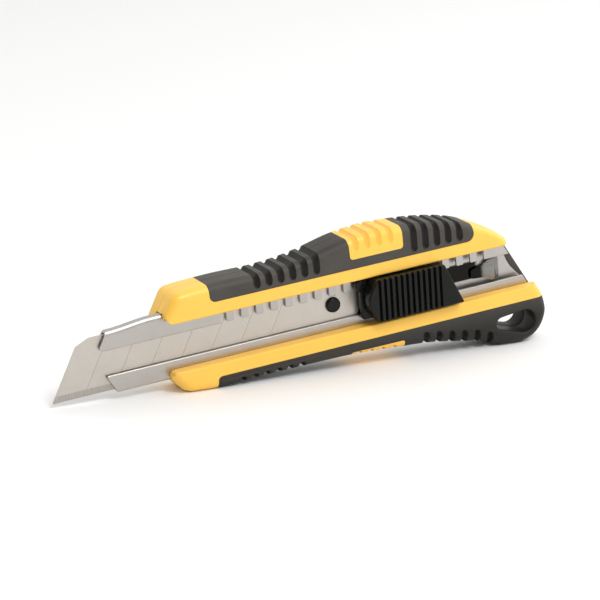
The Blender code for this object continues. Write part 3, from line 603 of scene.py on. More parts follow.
def seam_tool():
    """A thin ring that cuts the parting line into the middle of the outline."""
    outline = body_outline()
    ring = prism("seam_tool", inset(outline, -0.15), MIDDLE_Y - SEAM_HALF, MIDDLE_Y + SEAM_HALF)
    inner = inset(outline, sizes().seam_depth / MM)
    carve(ring, prism("seam_inner", inner, MIDDLE_Y - 2 * SEAM_HALF, MIDDLE_Y + 2 * SEAM_HALF))
    return ring


def upper_region(gap):
    """Side outline of the upper grip, open upwards, with a notch for the body's window."""
    low = UPPER_GRIP_Z + gap
    front = UPPER_GRIP[0] + gap
    rear = UPPER_GRIP[1] - gap
    sill = UPPER_WINDOW_Z - gap
    window = (UPPER_WINDOW[0] - gap, UPPER_WINDOW[1] + gap)
    return rounded([(front, FAR), (front, low, 2.0), (rear, low, 2.6), (rear, FAR), (window[1], FAR),
                    (window[1], sill, 1.0), (window[0] + 1.6, sill, 1.0), (window[0], FAR)])


def lower_region(gap):
    """Side outline of the lower grip, open downwards and to the rear, with its window."""
    top = LOWER_GRIP_Z - gap
    front = LOWER_GRIP_X + gap
    window = (LOWER_WINDOW[0] - gap, LOWER_WINDOW[1] + gap)
    sill = LOWER_WINDOW_Z + gap
    return rounded([(front, -FAR), (window[0], -FAR), (window[0] + 1.2, sill, 0.8),
                    (window[1], sill, 0.8), (window[1], -FAR), (REAR_FOOT_X + FAR, -FAR),
                    (REAR_FOOT_X + FAR, top), (front, top, 1.4)])


def panel_region(gap):
    """Side outline of the back grip's panel."""
    low = BACK_PANEL_Z[0] + gap
    high = BACK_PANEL_Z[1] - gap
    front = BACK_PANEL_X + gap
    return rounded([(front, low, 3.0), (rear_x(low, -FAR), low), (rear_x(high, -FAR), high),
                    (front, high, 3.0)])


def strip_region(gap):
    """Side outline of the strip that closes the back wall's slanted rear end."""
    low = LOWER_GRIP_Z + 0.05 - gap
    high = UPPER_RAIL_Z - 0.4 + gap
    setback = REAR_STRIP + gap
    return [(rear_x(low, setback), low), (rear_x(low, -FAR), low), (rear_x(high, -FAR), high),
            (rear_x(high, setback), high)]


def block_region(gap):
    """Side outline of the tail, which is soft grip right through."""
    return [(BLOCK_X - gap, -FAR), (REAR_FOOT_X + FAR, -FAR), (REAR_FOOT_X + FAR, LOWER_GRIP_Z),
            (BLOCK_X - gap, LOWER_GRIP_Z)]


def channel_tool():
    """The pocket for the sheath and the slot between the rails, with rounded rail edges."""
    front = LIP_Y - POCKET_GAP
    back = SHEATH_BACK_Y + POCKET_GAP
    top = SHEATH_TOP + SHEATH_RISE + POCKET_GAP
    bottom = SHEATH_BOTTOM - POCKET_GAP
    mouth = FRONT_Y - 2.0
    section = rounded([(mouth, LOWER_RAIL_Z - 2.0), (FRONT_Y, LOWER_RAIL_Z - 2.0),
                       (FRONT_Y, LOWER_RAIL_Z, RAIL_ROUND), (front, LOWER_RAIL_Z), (front, bottom),
                       (back, bottom), (back, top), (front, top), (front, UPPER_RAIL_Z),
                       (FRONT_Y, UPPER_RAIL_Z, RAIL_ROUND + 0.25), (FRONT_Y, UPPER_RAIL_Z + 2.0),
                       (mouth, UPPER_RAIL_Z + 2.0)])
    return new_object("channel_tool", extruded([(0.0, y, z) for y, z in section], (4 * FAR, 0, 0)))


def spine_height(x):
    """Height of the body's upper edge at a place along the knife."""
    return height_on(smooth_curve(SPINE, 4), x)


def belly_height(x):
    """Height of the body's lower edge at a place along the knife."""
    return height_on(smooth_curve([FRONT_PAD[1]] + BELLY[::-1] + [REAR_PAD[0]], 3), x)


def groove_tool(name, rows, width_share=1.0, depth_share=1.0):
    """Cutter of several groove rows."""
    half_width = sizes().groove_width / MM / 2 * width_share
    depth = sizes().groove_depth / MM * depth_share
    return groove_tubes(name, [path for row in rows for path in row], half_width, depth, depth * 0.8)


def sliver(name, before, corner, after, radius, y_low, y_high):
    """A cutter that rounds one corner of an outline between two levels."""
    arc = fillet(before, corner, after, radius)
    middle = (Vector(arc[0]) + Vector(arc[-1])) / 2
    outer = Vector(corner) + (Vector(corner) - middle) * 0.4
    return prism(name, [tuple(outer)] + arc, y_low, y_high)


def end_round(name, low, high, radius):
    """A cutter that rounds a slanted rear end towards the front face, seen from above."""
    edge = low[0]
    arc = fillet((edge - FAR, FRONT_Y), (edge, FRONT_Y), (edge, FRONT_Y + FAR), radius)
    plan = arc + [(edge + 2.0, FRONT_Y + radius), (edge + 2.0, FRONT_Y - 1.0), (edge - radius, FRONT_Y - 1.0)]
    lean = Vector((high[0] - low[0], 0.0, high[1] - low[1]))
    return new_object(name, extruded([(x, y, low[1] - 0.5) for x, y in plan], lean))


# Materials.

def group(name, inputs, outputs):
    """A shader node group with named sockets; gives the tree and its two end nodes."""
    tree = bpy.data.node_groups.new(name, "ShaderNodeTree")
    for label, kind, default in inputs:
        socket = tree.interface.new_socket(label, in_out="INPUT", socket_type=kind)
        if default is not None:
            socket.default_value = default
    for label, kind in outputs:
        tree.interface.new_socket(label, in_out="OUTPUT", socket_type=kind)
    return tree, tree.nodes.new("NodeGroupInput"), tree.nodes.new("NodeGroupOutput")


def node(tree, kind, links=(), **values):
    """A node with its properties or sockets set and its inputs linked."""
    made = tree.nodes.new(kind)
    for key, value in values.items():
        if key in made.inputs:
            made.inputs[key].default_value = value
        else:
            setattr(made, key, value)
    for socket, source in links:
        tree.links.new(source, made.inputs[socket])
    return made


def math_node(tree, operation, *sources):
    """A Math node; each source is a socket or a number."""
    made = node(tree, "ShaderNodeMath", operation=operation)
    for index, source in enumerate(sources):
        if isinstance(source, (int, float)):
            made.inputs[index].default_value = source
        else:
            tree.links.new(source, made.inputs[index])
    return made.outputs[0]


def remap(tree, source, low, high, to_low=0.0, to_high=1.0):
    """Maps a range of a value to another range, clamped at its ends."""
    made = node(tree, "ShaderNodeMapRange", [(0, source)])
    for index, value in enumerate((low, high, to_low, to_high), start=1):
        made.inputs[index].default_value = value
    return made.outputs[0]


def grain_group():
    """Fine moulded grain: a height, and a slow change that shifts gloss and tone."""
    tree, start, end = group("moulded_grain", [("Vector", "NodeSocketVector", None),
                                               ("Grain Size", "NodeSocketFloat", 0.2)],
                             [("Height", "NodeSocketFloat"), ("Variation", "NodeSocketFloat")])
    frequency = math_node(tree, "DIVIDE", 1.0, start.outputs["Grain Size"])
    fine = node(tree, "ShaderNodeTexNoise", [("Vector", start.outputs["Vector"]), ("Scale", frequency)],
                Detail=2.0, Roughness=0.6)
    pits = node(tree, "ShaderNodeTexVoronoi", [("Vector", start.outputs["Vector"]), ("Scale", frequency)])
    slow = node(tree, "ShaderNodeTexNoise", [("Vector", start.outputs["Vector"])], Scale=0.12, Detail=4.0)
    height = math_node(tree, "ADD", fine.outputs["Fac"], math_node(tree, "MULTIPLY", pits.outputs[0], 0.5))
    tree.links.new(height, end.inputs["Height"])
    tree.links.new(slow.outputs["Fac"], end.inputs["Variation"])
    return tree


def speck_group():
    """Sparse dust specks and short scuffs, as a mask."""
    tree, start, end = group("dust_specks", [("Vector", "NodeSocketVector", None),
                                             ("Spacing", "NodeSocketFloat", 2.0),
                                             ("Size", "NodeSocketFloat", 0.07)],
                             [("Mask", "NodeSocketFloat")])
    frequency = math_node(tree, "DIVIDE", 1.0, start.outputs["Spacing"])
    cells = node(tree, "ShaderNodeTexVoronoi", [("Vector", start.outputs["Vector"]), ("Scale", frequency)])
    chance = node(tree, "ShaderNodeSeparateColor", [("Color", cells.outputs["Color"])])
    wanted = math_node(tree, "GREATER_THAN", chance.outputs[0], 0.72)
    near = math_node(tree, "LESS_THAN", cells.outputs["Distance"],
                     math_node(tree, "MULTIPLY", start.outputs["Size"], chance.outputs[1]))
    tree.links.new(math_node(tree, "MULTIPLY", wanted, near), end.inputs["Mask"])
    return tree


def brush_group():
    """Fine parallel lines of rolled or ground steel, along X or Z after its Mapping."""
    tree, start, end = group("brushed_lines", [("Vector", "NodeSocketVector", None),
                                               ("Line Width", "NodeSocketFloat", 0.08),
                                               ("Line Length", "NodeSocketFloat", 8.0)],
                             [("Lines", "NodeSocketFloat"), ("Patches", "NodeSocketFloat")])
    parts = node(tree, "ShaderNodeSeparateXYZ", [(0, start.outputs["Vector"])])
    along = math_node(tree, "DIVIDE", parts.outputs["X"], start.outputs["Line Length"])
    across = math_node(tree, "DIVIDE", parts.outputs["Z"], start.outputs["Line Width"])
    deep = math_node(tree, "DIVIDE", parts.outputs["Y"], start.outputs["Line Width"])
    place = node(tree, "ShaderNodeCombineXYZ", [(0, along), (1, deep), (2, across)])
    lines = node(tree, "ShaderNodeTexNoise", [("Vector", place.outputs[0])], Scale=1.0, Detail=3.0,
                 Roughness=0.65)
    patches = node(tree, "ShaderNodeTexNoise", [("Vector", start.outputs["Vector"])], Scale=0.16, Detail=5.0)
    tree.links.new(lines.outputs["Fac"], end.inputs["Lines"])
    tree.links.new(patches.outputs["Fac"], end.inputs["Patches"])
    return tree


def shared(make, name):
    """A node group, made the first time that a material asks for it."""
    return bpy.data.node_groups.get(name) or make()


def knife_coordinates(tree, turn=(0.0, 0.0, 0.0)):
    """Object coordinates turned back into the knife's frame, in millimetres."""
    where = node(tree, "ShaderNodeTexCoord")
    centred = node(tree, "ShaderNodeMapping", [("Vector", where.outputs["Object"])])
    centred.inputs["Location"].default_value = (-TIP.x, 0.0, -TIP.z)
    turned = node(tree, "ShaderNodeMapping", [("Vector", centred.outputs[0])])
    turned.inputs["Rotation"].default_value = (0.0, TILT, 0.0)
    turned.inputs["Scale"].default_value = (1 / MM, 1 / MM, 1 / MM)
    if any(turn):
        turned = node(tree, "ShaderNodeMapping", [("Vector", turned.outputs[0])])
        turned.inputs["Rotation"].default_value = turn
    return turned.outputs[0]


def new_material(name):
    mat = bpy.data.materials.new(name)
    mat.use_nodes = True
    return mat, mat.node_tree, mat.node_tree.nodes["Principled BSDF"]


def mix_colour(tree, factor, first, second):
    """Mixes two colours, each a socket or a value; a Mix node has them at its inputs 6 and 7."""
    made = node(tree, "ShaderNodeMix", data_type="RGBA")
    for index, source in ((0, factor), (6, first), (7, second)):
        if isinstance(source, bpy.types.NodeSocket):
            tree.links.new(source, made.inputs[index])
        else:
            made.inputs[index].default_value = source
    return made.outputs[2]


def use_group(tree, make, name, vector, **values):
    made = node(tree, "ShaderNodeGroup")
    made.node_tree = shared(make, name)
    tree.links.new(vector, made.inputs["Vector"])
    for key, value in values.items():
        made.inputs[key.replace("_", " ")].default_value = value
    return made


def shade(value, factor):
    """A colour made lighter or darker."""
    return (*[min(1.0, channel * factor) for channel in value[:3]], 1.0)


def paint_groove_shade(tree, place, base, tinted, strength):
    """Painted shade on a soft grip: darker in its grooves, on their rear walls and towards the belly."""
    # Painted shade in the grooves, taken from ambient occlusion.
    shadow = node(tree, "ShaderNodeAmbientOcclusion", samples=6)
    shadow.inputs["Distance"].default_value = 3.2 * MM
    crevice_shade = remap(tree, shadow.outputs["AO"], 0.62, 0.9, 0.45 * strength, 0.0)
    tinted = mix_colour(tree, crevice_shade, tinted, shade(base, 0.08))
    # Painted shade on the grooves' rear walls, which face the knife's front.
    normal = node(tree, "ShaderNodeTexCoord").outputs["Normal"]
    facing = node(tree, "ShaderNodeVectorMath", [(0, normal)], operation="DOT_PRODUCT")
    facing.inputs[1].default_value = KNIFE.to_3x3().col[0].normalized()
    rear_wall_shade = remap(tree, facing.outputs["Value"], 0.0, -0.5, 0.0, strength)
    tinted = mix_colour(tree, rear_wall_shade, tinted, shade(base, 0.06))
    # Painted shade: darker towards the belly.
    height = node(tree, "ShaderNodeSeparateXYZ", [(0, place)])
    belly = remap(tree, height.outputs["Z"], 1.0, -8.0, 0.0, 0.88)
    return mix_colour(tree, belly, tinted, shade(base, 0.2))


def plastic(name, base, roughness, grain_size, grain_height, tone=0.08, specks=0.0, specular=0.5,
            painted_shade=0.0):
    """A moulded plastic or rubber: grain, uneven gloss and tone, and a few specks."""
    mat, tree, shader = new_material(name)
    place = knife_coordinates(tree)
    grain = use_group(tree, grain_group, "moulded_grain", place, Grain_Size=grain_size)
    variation = remap(tree, grain.outputs["Variation"], 0.3, 0.7)
    tinted = mix_colour(tree, variation, shade(base, 1 - tone), shade(base, 1 + tone))
    rough = remap(tree, variation, 0.0, 1.0, roughness - 0.05, roughness + 0.06)
    # Painted shade in the grooves, on their rear walls and towards the belly.
    if painted_shade:
        tinted = paint_groove_shade(tree, place, base, tinted, painted_shade)
    if specks:
        dust = use_group(tree, speck_group, "dust_specks", place, Spacing=1.6, Size=0.06)
        mask = math_node(tree, "MULTIPLY", dust.outputs["Mask"], specks)
        tinted = mix_colour(tree, mask, tinted, (0.45, 0.44, 0.42, 1.0))
    tree.links.new(tinted, shader.inputs["Base Color"])
    tree.links.new(rough, shader.inputs["Roughness"])
    bump = node(tree, "ShaderNodeBump", [("Height", grain.outputs["Height"])], Strength=1.0)
    bump.inputs["Distance"].default_value = grain_height * MM
    tree.links.new(bump.outputs[0], shader.inputs["Normal"])
    shader.inputs["Specular IOR Level"].default_value = specular
    return mat


def steel(name, base, roughness, line_width, line_length, line_height, turn=(0.0, 0.0, 0.0)):
    """Rolled or ground steel: directional lines, cloudy gloss and fine specks."""
    mat, tree, shader = new_material(name)
    place = knife_coordinates(tree, turn)
    brush = use_group(tree, brush_group, "brushed_lines", place, Line_Width=line_width,
                      Line_Length=line_length)
    dust = use_group(tree, speck_group, "dust_specks", place, Spacing=3.1, Size=0.05)
    lines = remap(tree, brush.outputs["Lines"], 0.3, 0.7)
    patches = remap(tree, brush.outputs["Patches"], 0.3, 0.7)
    tinted = mix_colour(tree, patches, shade(base, 0.94), shade(base, 1.05))
    tinted = mix_colour(tree, math_node(tree, "MULTIPLY", lines, 0.35), tinted, shade(base, 0.84))
    tinted = mix_colour(tree, math_node(tree, "MULTIPLY", dust.outputs["Mask"], 0.7), tinted,
                        shade(base, 0.3))
    gloss = math_node(tree, "ADD", math_node(tree, "MULTIPLY", lines, 0.08),
                      remap(tree, patches, 0.0, 1.0, roughness - 0.04, roughness + 0.07))
    tree.links.new(tinted, shader.inputs["Base Color"])
    tree.links.new(gloss, shader.inputs["Roughness"])
    shader.inputs["Metallic"].default_value = 1.0
    bump = node(tree, "ShaderNodeBump", [("Height", brush.outputs["Lines"])], Strength=1.0)
    bump.inputs["Distance"].default_value = line_height * MM
    tree.links.new(bump.outputs[0], shader.inputs["Normal"])
    return mat


def paint_dark_reflection(mat, x_range, y_low, z_range):
    """Painted dark reflection: darkens and glosses a zone of a steel, between two places and two heights and
    behind a level.
    """
    tree = mat.node_tree
    shader = tree.nodes["Principled BSDF"]
    place = node(tree, "ShaderNodeSeparateXYZ", [(0, knife_coordinates(tree))])
    inner = remap(tree, place.outputs["Y"], y_low, y_low + 0.2)
    low = remap(tree, place.outputs["Z"], z_range[0], z_range[0] + 0.4)
    high = remap(tree, place.outputs["Z"], z_range[1] + 0.6, z_range[1])
    front = remap(tree, place.outputs["X"], x_range[0] - 14.0, x_range[0])
    rear = remap(tree, place.outputs["X"], x_range[1] + 1.2, x_range[1])
    band = math_node(tree, "MULTIPLY", inner, math_node(tree, "MULTIPLY", low, high))
    mask = math_node(tree, "MULTIPLY", band, math_node(tree, "MULTIPLY", front, rear))
    base_link = shader.inputs["Base Color"].links[0].from_socket
    rough_link = shader.inputs["Roughness"].links[0].from_socket
    # Painted dark reflection: the zone is mixed towards near-black.
    tree.links.new(mix_colour(tree, mask, base_link, (0.016, 0.015, 0.014, 1.0)), shader.inputs["Base Color"])
    rough = node(tree, "ShaderNodeMix", [(0, mask), (2, rough_link)])
    rough.inputs[3].default_value = 0.16
    tree.links.new(rough.outputs[0], shader.inputs["Roughness"])


def sheath_steel():
    """Rolled steel, with a painted dark reflection on the track behind the slider, which is also glossier."""
    mat = steel("rolled_steel", colours().sheath, 0.3, 0.1, 14.0, 0.004)
    paint_dark_reflection(mat, (106.0, 147.4), SHEATH_BACK_Y - WALL - 0.35, (6.6, 12.4))
    return mat


def body_plastic():
    return plastic("moulded_body", colours().body, 0.36, 0.35, 0.003, tone=0.025, specular=0.5)


def grip_rubber():
    # The rubber carries painted shade in its grooves, on their rear walls and towards the belly.
    return bpy.data.materials.get("moulded_rubber") or plastic(
        "moulded_rubber", colours().grip, 0.5, 0.16, 0.012, tone=0.12, specks=0.3, specular=0.3,
        painted_shade=0.9)


def stop_steel():
    """Polished steel of the stop and of the lock spring."""
    mat = steel("polished_steel", colours().stop, 0.12, 1.4, 1.8, 0.25)
    # Painted dark reflection over the stop's front part.
    paint_dark_reflection(mat, (140.0, 149.0), 0.0, (3.0, 15.0))
    return mat


def blade_steel():
    """Ground steel, whose lines are coarser and darker on the ground edge."""
    mat = steel("ground_steel", colours().blade, 0.34, 0.05, 5.0, 0.003, (0.0, math.radians(-90), 0.0))
    tree = mat.node_tree
    shader = tree.nodes["Principled BSDF"]
    place = knife_coordinates(tree)
    height = node(tree, "ShaderNodeSeparateXYZ", [(0, place)]).outputs["Z"]
    edge = remap(tree, height, BLADE_GRIND + 0.05, BLADE_GRIND - 0.05)
    stretched = node(tree, "ShaderNodeMapping", [("Vector", place)])
    stretched.inputs["Scale"].default_value = (4.2, 1.0, 0.12)
    lines = node(tree, "ShaderNodeTexNoise", [("Vector", stretched.outputs[0])], Scale=1.0, Detail=4.0)
    dark = math_node(tree, "MULTIPLY", edge, remap(tree, lines.outputs["Fac"], 0.35, 0.65, 0.35, 1.0))
    old = shader.inputs["Base Color"].links[0].from_socket
    tree.links.new(mix_colour(tree, dark, old, shade(colours().blade, 0.62)), shader.inputs["Base Color"])
    return mat


def slider_plastic():
    return bpy.data.materials.get("moulded_slider") or plastic(
        "moulded_slider", colours().slider, 0.26, 0.22, 0.003, tone=0.1, specks=0.08, specular=0.22)


# Pieces.

class KNIFE_OT_body(bpy.types.Operator):
    """Model the moulded body with its rails, recesses, window grooves and parting line"""
    bl_idname = "knife.make_body"
    bl_label = "Body"

    def execute(self, context):
        body = body_form("yellow_body")
        carve(body, prism("upper_recess", upper_region(0.0), -FAR, FAR))
        carve(body, prism("lower_recess", lower_region(0.0), -FAR, FAR))
        carve(body, prism("panel_recess", panel_region(0.0), BACK_Y - GRIP_DEPTH, FAR))
        carve(body, core_form("body_core", GRIP_DEPTH + 0.1), "UNION")
        carve(body, prism("block_recess", block_region(0.0), -FAR, FAR))
        carve(body, prism("strip_recess", strip_region(0.1), SHEATH_BACK_Y, FAR))
        carve(body, channel_tool())
        for corner in self.rail_corners():
            carve(body, corner)
        grooves = groove_row(*WINDOW_GROOVES, GROOVE_PITCH, spine_height, lambda x: WINDOW_FOOT_Z)
        notches = groove_row(*WINDOW_NOTCHES, GROOVE_PITCH, belly_height, lambda x: belly_height(x) + 1.4)
        carve(body, groove_tool("window_tool", [grooves, notches], 0.82, 0.8))
        carve(body, seam_tool())
        soften(body, sizes().crease / MM)
        finish_piece(body, body_plastic(), "handle", "body_shell")
        return {"FINISHED"}

    def rail_corners(self):
        """Cutters that round the ends of the two rails, in front of the sheath."""
        rear_low = (rear_x(UPPER_RAIL_Z), UPPER_RAIL_Z)
        rear_high = (rear_x(HEEL[1] + 2.0), HEEL[1] + 2.0)
        corners = {"nose_corner": (NOSE_TOP, (NOSE_X, UPPER_RAIL_Z), (FAR, UPPER_RAIL_Z), NOSE_CORNER),
                   "jaw_corner": ((FAR, LOWER_RAIL_Z), (JAW_FRONT, LOWER_RAIL_Z), JAW[1], JAW_CORNER),
                   "heel_corner": ((FAR, UPPER_RAIL_Z), rear_low, rear_high, HEEL_CORNER)}
        tools = [sliver(name, *corner, FRONT_Y - 1.0, LIP_Y + 0.3) for name, corner in corners.items()]
        return tools + [end_round("rear_end", rear_low, rear_high, REAR_END_ROUND)]


class KNIFE_OT_grips(bpy.types.Operator):
    """Model the three soft grips with their grooves, notches and hang hole"""
    bl_idname = "knife.make_grips"
    bl_label = "Soft grips"

    def execute(self, context):
        crease = sizes().crease / MM
        upper = body_form("spine_grip")
        carve(upper, prism("upper_keep", upper_region(GRIP_GAP), -FAR, FAR), "INTERSECT")
        carve(upper, core_form("upper_core", GRIP_DEPTH))
        carve(upper, seam_tool())
        rows = [groove_row(*row, GROOVE_PITCH, spine_height, lambda x: GROOVE_FOOT_Z)
                for row in (FRONT_GROOVES, REAR_GROOVES)]
        carve(upper, groove_tool("spine_tool", rows))
        soften(upper, crease)
        finish_piece(upper, grip_rubber(), "handle", "upper_grip")

        lower = body_form("belly_grip")
        carve(lower, prism("lower_keep", lower_region(GRIP_GAP), -FAR, FAR), "INTERSECT")
        inner = core_form("lower_core", GRIP_DEPTH)
        carve(inner, prism("inner_end", block_region(-0.1), -FAR, FAR))
        carve(lower, inner)
        carve(lower, seam_tool())
        carve(lower, self.hole_tool())
        weld(lower)
        carve(lower, prism("hole_seam", hole_outline(0.3), MIDDLE_Y - 0.1, MIDDLE_Y + 0.1))
        rows = [groove_row(*BELLY_NOTCHES, GROOVE_PITCH, belly_height, lambda x: belly_height(x) + 2.2),
                groove_row(*TAIL_NOTCHES, TAIL_NOTCH_PITCH, belly_height, lambda x: belly_height(x) + 4.3)]
        carve(lower, groove_tool("belly_tool", rows))
        soften(lower, crease)
        finish_piece(lower, grip_rubber(), "handle", "lower_grip")

        back = body_form("back_grip_panel")
        keep = prism("back_keep", panel_region(GRIP_GAP), BACK_Y - GRIP_DEPTH + 0.1, FAR)
        carve(keep, prism("strip_keep", strip_region(0.0), SHEATH_BACK_Y + 0.1, FAR - 1.0), "UNION")
        carve(back, keep, "INTERSECT")
        soften(back, crease)
        finish_piece(back, grip_rubber(), "handle", "back_grip")
        return {"FINISHED"}

    def hole_tool(self):
        """The hang hole, flared at both faces so that its rims are round."""
        steps = 6
        rings = []
        for face_y, way in ((FRONT_Y, 1.0), (BACK_Y, -1.0)):
            flare = []
            for step in range(steps + 1):
                angle = math.pi / 2 * step / steps
                y = face_y + way * HOLE_RIM * (1 - math.cos(angle))
                change = HOLE_RIM * (1 - math.sin(angle))
                flare.append([(x, y, z) for x, z in hole_outline(change)])
            flare.insert(0, [(x, face_y - way, z) for x, z in hole_outline(HOLE_RIM)])
            rings.extend(flare if way > 0 else flare[::-1])
        return loft("hole_tool", rings)


class KNIFE_OT_sheath(bpy.types.Operator):
    """Fold the steel sheath, with its slanted nose and its comb of tabs"""
    bl_idname = "knife.make_sheath"
    bl_label = "Sheath"

    def execute(self, context):
        bm = extruded([(0.0, y, z) for y, z in self.section()], (230.0, 0, 0))
        self.raise_rear(bm)
        sheath = new_object("folded_sheath", bm)
        nose = [(-FAR, -FAR), (SHEATH_FRONT + LOWER_SLANT, -FAR), (SHEATH_FRONT + LOWER_SLANT, SHEATH_BOTTOM),
                (SHEATH_FRONT, LOWER_LIP_Z), (SHEATH_FRONT - LIP_SLANT, UPPER_LIP_Z),
                (SHEATH_FRONT + UPPER_SLANT, SHEATH_TOP), (SHEATH_FRONT + UPPER_SLANT, FAR), (-FAR, FAR)]
        carve(sheath, prism("nose_tool", nose, -FAR, FAR))
        rear = [(rear_x(-FAR, SHEATH_SETBACK), -FAR), (260.0, -FAR), (260.0, FAR),
                (rear_x(FAR, SHEATH_SETBACK), FAR)]
        carve(sheath, prism("rear_tool", rear, -FAR, FAR))
        crescent = [(rear_x(z, setback), z) for z, setback in SHEATH_REAR_CUT]
        crescent += [(rear_x(z, -1.0), z) for z in (SHEATH_REAR_CUT[-1][0], SHEATH_REAR_CUT[0][0])]
        carve(sheath, prism("crescent_tool", crescent, LIP_Y + WALL + 0.2, FAR))
        for corner in self.lip_corners():
            carve(sheath, corner)
        carve(sheath, self.comb_tool())
        soften(sheath, 0.08, angle=50.0)
        finish_piece(sheath, sheath_steel(), "handle", "blade_sheath")
        return {"FINISHED"}

    def section(self):
        """The folded strip's section: back wall, top and bottom, and the two lips in front."""
        inner_lip = LIP_Y + WALL
        inner_back = SHEATH_BACK_Y - WALL
        inner_bottom = SHEATH_BOTTOM + WALL
        inner_top = SHEATH_TOP - WALL
        tight = 0.25
        return rounded([(LIP_Y, LOWER_LIP_Z, LIP_ROUND), (LIP_Y, SHEATH_BOTTOM, SHEATH_BEND),
                        (SHEATH_BACK_Y, SHEATH_BOTTOM, SHEATH_BEND), (SHEATH_BACK_Y, SHEATH_TOP, SHEATH_FOLD),
                        (LIP_Y, SHEATH_TOP, SHEATH_FOLD), (LIP_Y, UPPER_LIP_Z, LIP_ROUND),
                        (inner_lip, UPPER_LIP_Z, 0.1), (inner_lip, inner_top, SHEATH_FOLD - WALL),
                        (inner_back, inner_top, SHEATH_FOLD - WALL), (inner_back, inner_bottom, tight),
                        (inner_lip, inner_bottom, tight), (inner_lip, LOWER_LIP_Z, 0.1)])

    def raise_rear(self, bm):
        """Raises the sheath's top behind its nose, over a smooth ramp."""
        start, end = SHEATH_RISE_X
        stations = 9
        for index in range(stations + 1):
            split_at(bm, 0, start + (end - start) * index / stations, 1e-4)
        for vert in bm.verts:
            if vert.co.z > UPPER_LIP_Z + SHEATH_BEND:
                share = min(max((vert.co.x - start) / (end - start), 0.0), 1.0)
                vert.co.z += SHEATH_RISE * share * share * (3 - 2 * share)

    def lip_corners(self):
        """Slivers that round the lips' front corners."""
        upper = ((SHEATH_FRONT + UPPER_SLANT, SHEATH_TOP), (SHEATH_FRONT - LIP_SLANT, UPPER_LIP_Z),
                 (FAR, UPPER_LIP_Z), 1.1)
        lower = ((FAR, LOWER_LIP_Z), (SHEATH_FRONT, LOWER_LIP_Z), (SHEATH_FRONT + LOWER_SLANT, SHEATH_BOTTOM),
                 0.5)
        return [sliver("lip_corner", *corner, LIP_Y - 1.0, LIP_Y + WALL + 0.1) for corner in (upper, lower)]

    def comb_tool(self):
        """Slots between the tabs, flared so that the tabs' lower corners are round."""
        slots = [(COMB_START, COMB_FIRST_TAB)]
        slot_start = COMB_FIRST_TAB + COMB_TAB
        while slot_start < rear_x(SHEATH_TOP, SHEATH_SETBACK) - 5.0:
            slots.append((slot_start, slot_start + COMB_PITCH - COMB_TAB))
            slot_start += COMB_PITCH
        bm = bmesh.new()
        reach = COMB_ROUND + 0.2
        for start, end in slots:
            outline = rounded([(start - reach, UPPER_LIP_Z - 1.0), (end + reach, UPPER_LIP_Z - 1.0),
                               (end + reach, UPPER_LIP_Z), (end, UPPER_LIP_Z, COMB_ROUND),
                               (end, COMB_TOP, 0.4), (start, COMB_TOP, 0.4),
                               (start, UPPER_LIP_Z, COMB_ROUND), (start - reach, UPPER_LIP_Z)])
            extrude_section(bm, [(x, LIP_Y - 1.0, z) for x, z in outline], (0, 1.0 + WALL + 0.3, 0))
        return new_object("comb_tool", bm)


class KNIFE_OT_stop(bpy.types.Operator):
    """Press the bright stop at the rear of the channel"""
    bl_idname = "knife.make_stop"
    bl_label = "Stop"

    def execute(self, context):
        start, front, low = STOP_LOW
        end, back, high = STOP_HIGH
        strip = 0.55
        outer = smooth_curve([(start, back - strip), (start + 2.6, back - strip),
                              (end - 6.2, back - strip - 0.1), (end - 4.4, front + 0.35),
                              (end - 3.4, front), (end - 2.2, front + 0.1), (end - 1.4, front + 0.9),
                              (end - 0.4, back - 0.35)], 6)
        inner = smooth_curve([(end - 1.0, back), (end - 2.0, front + 0.9), (end - 3.2, front + strip),
                              (end - 4.2, front + 0.85), (end - 5.6, back)], 6)
        section = [(start, back)] + outer + [(end, back)] + inner
        bm = extruded([(x, y, low) for x, y in section], (0, 0, high - low))
        stop = new_object("pressed_stop", bm)
        taper = rounded([(start, low + 1.4, 0.8), (end - 5.4, low + 1.0), (end - 3.6, low), (end, low, 1.0),
                         (end, high, 1.0), (end - 4.0, high), (end - 6.0, high - 1.6),
                         (start, high - 2.6, 0.8)])
        carve(stop, prism("stop_side", taper, -5.0, 5.0), "INTERSECT")
        soften(stop, 0.12, angle=45.0)
        mat = stop_steel()
        finish_piece(stop, mat, "handle", "slider_stop")
        spring_materials = frame["nodes"]["lock_spring"].data.materials
        spring_materials.clear()
        spring_materials.append(mat)
        return {"FINISHED"}


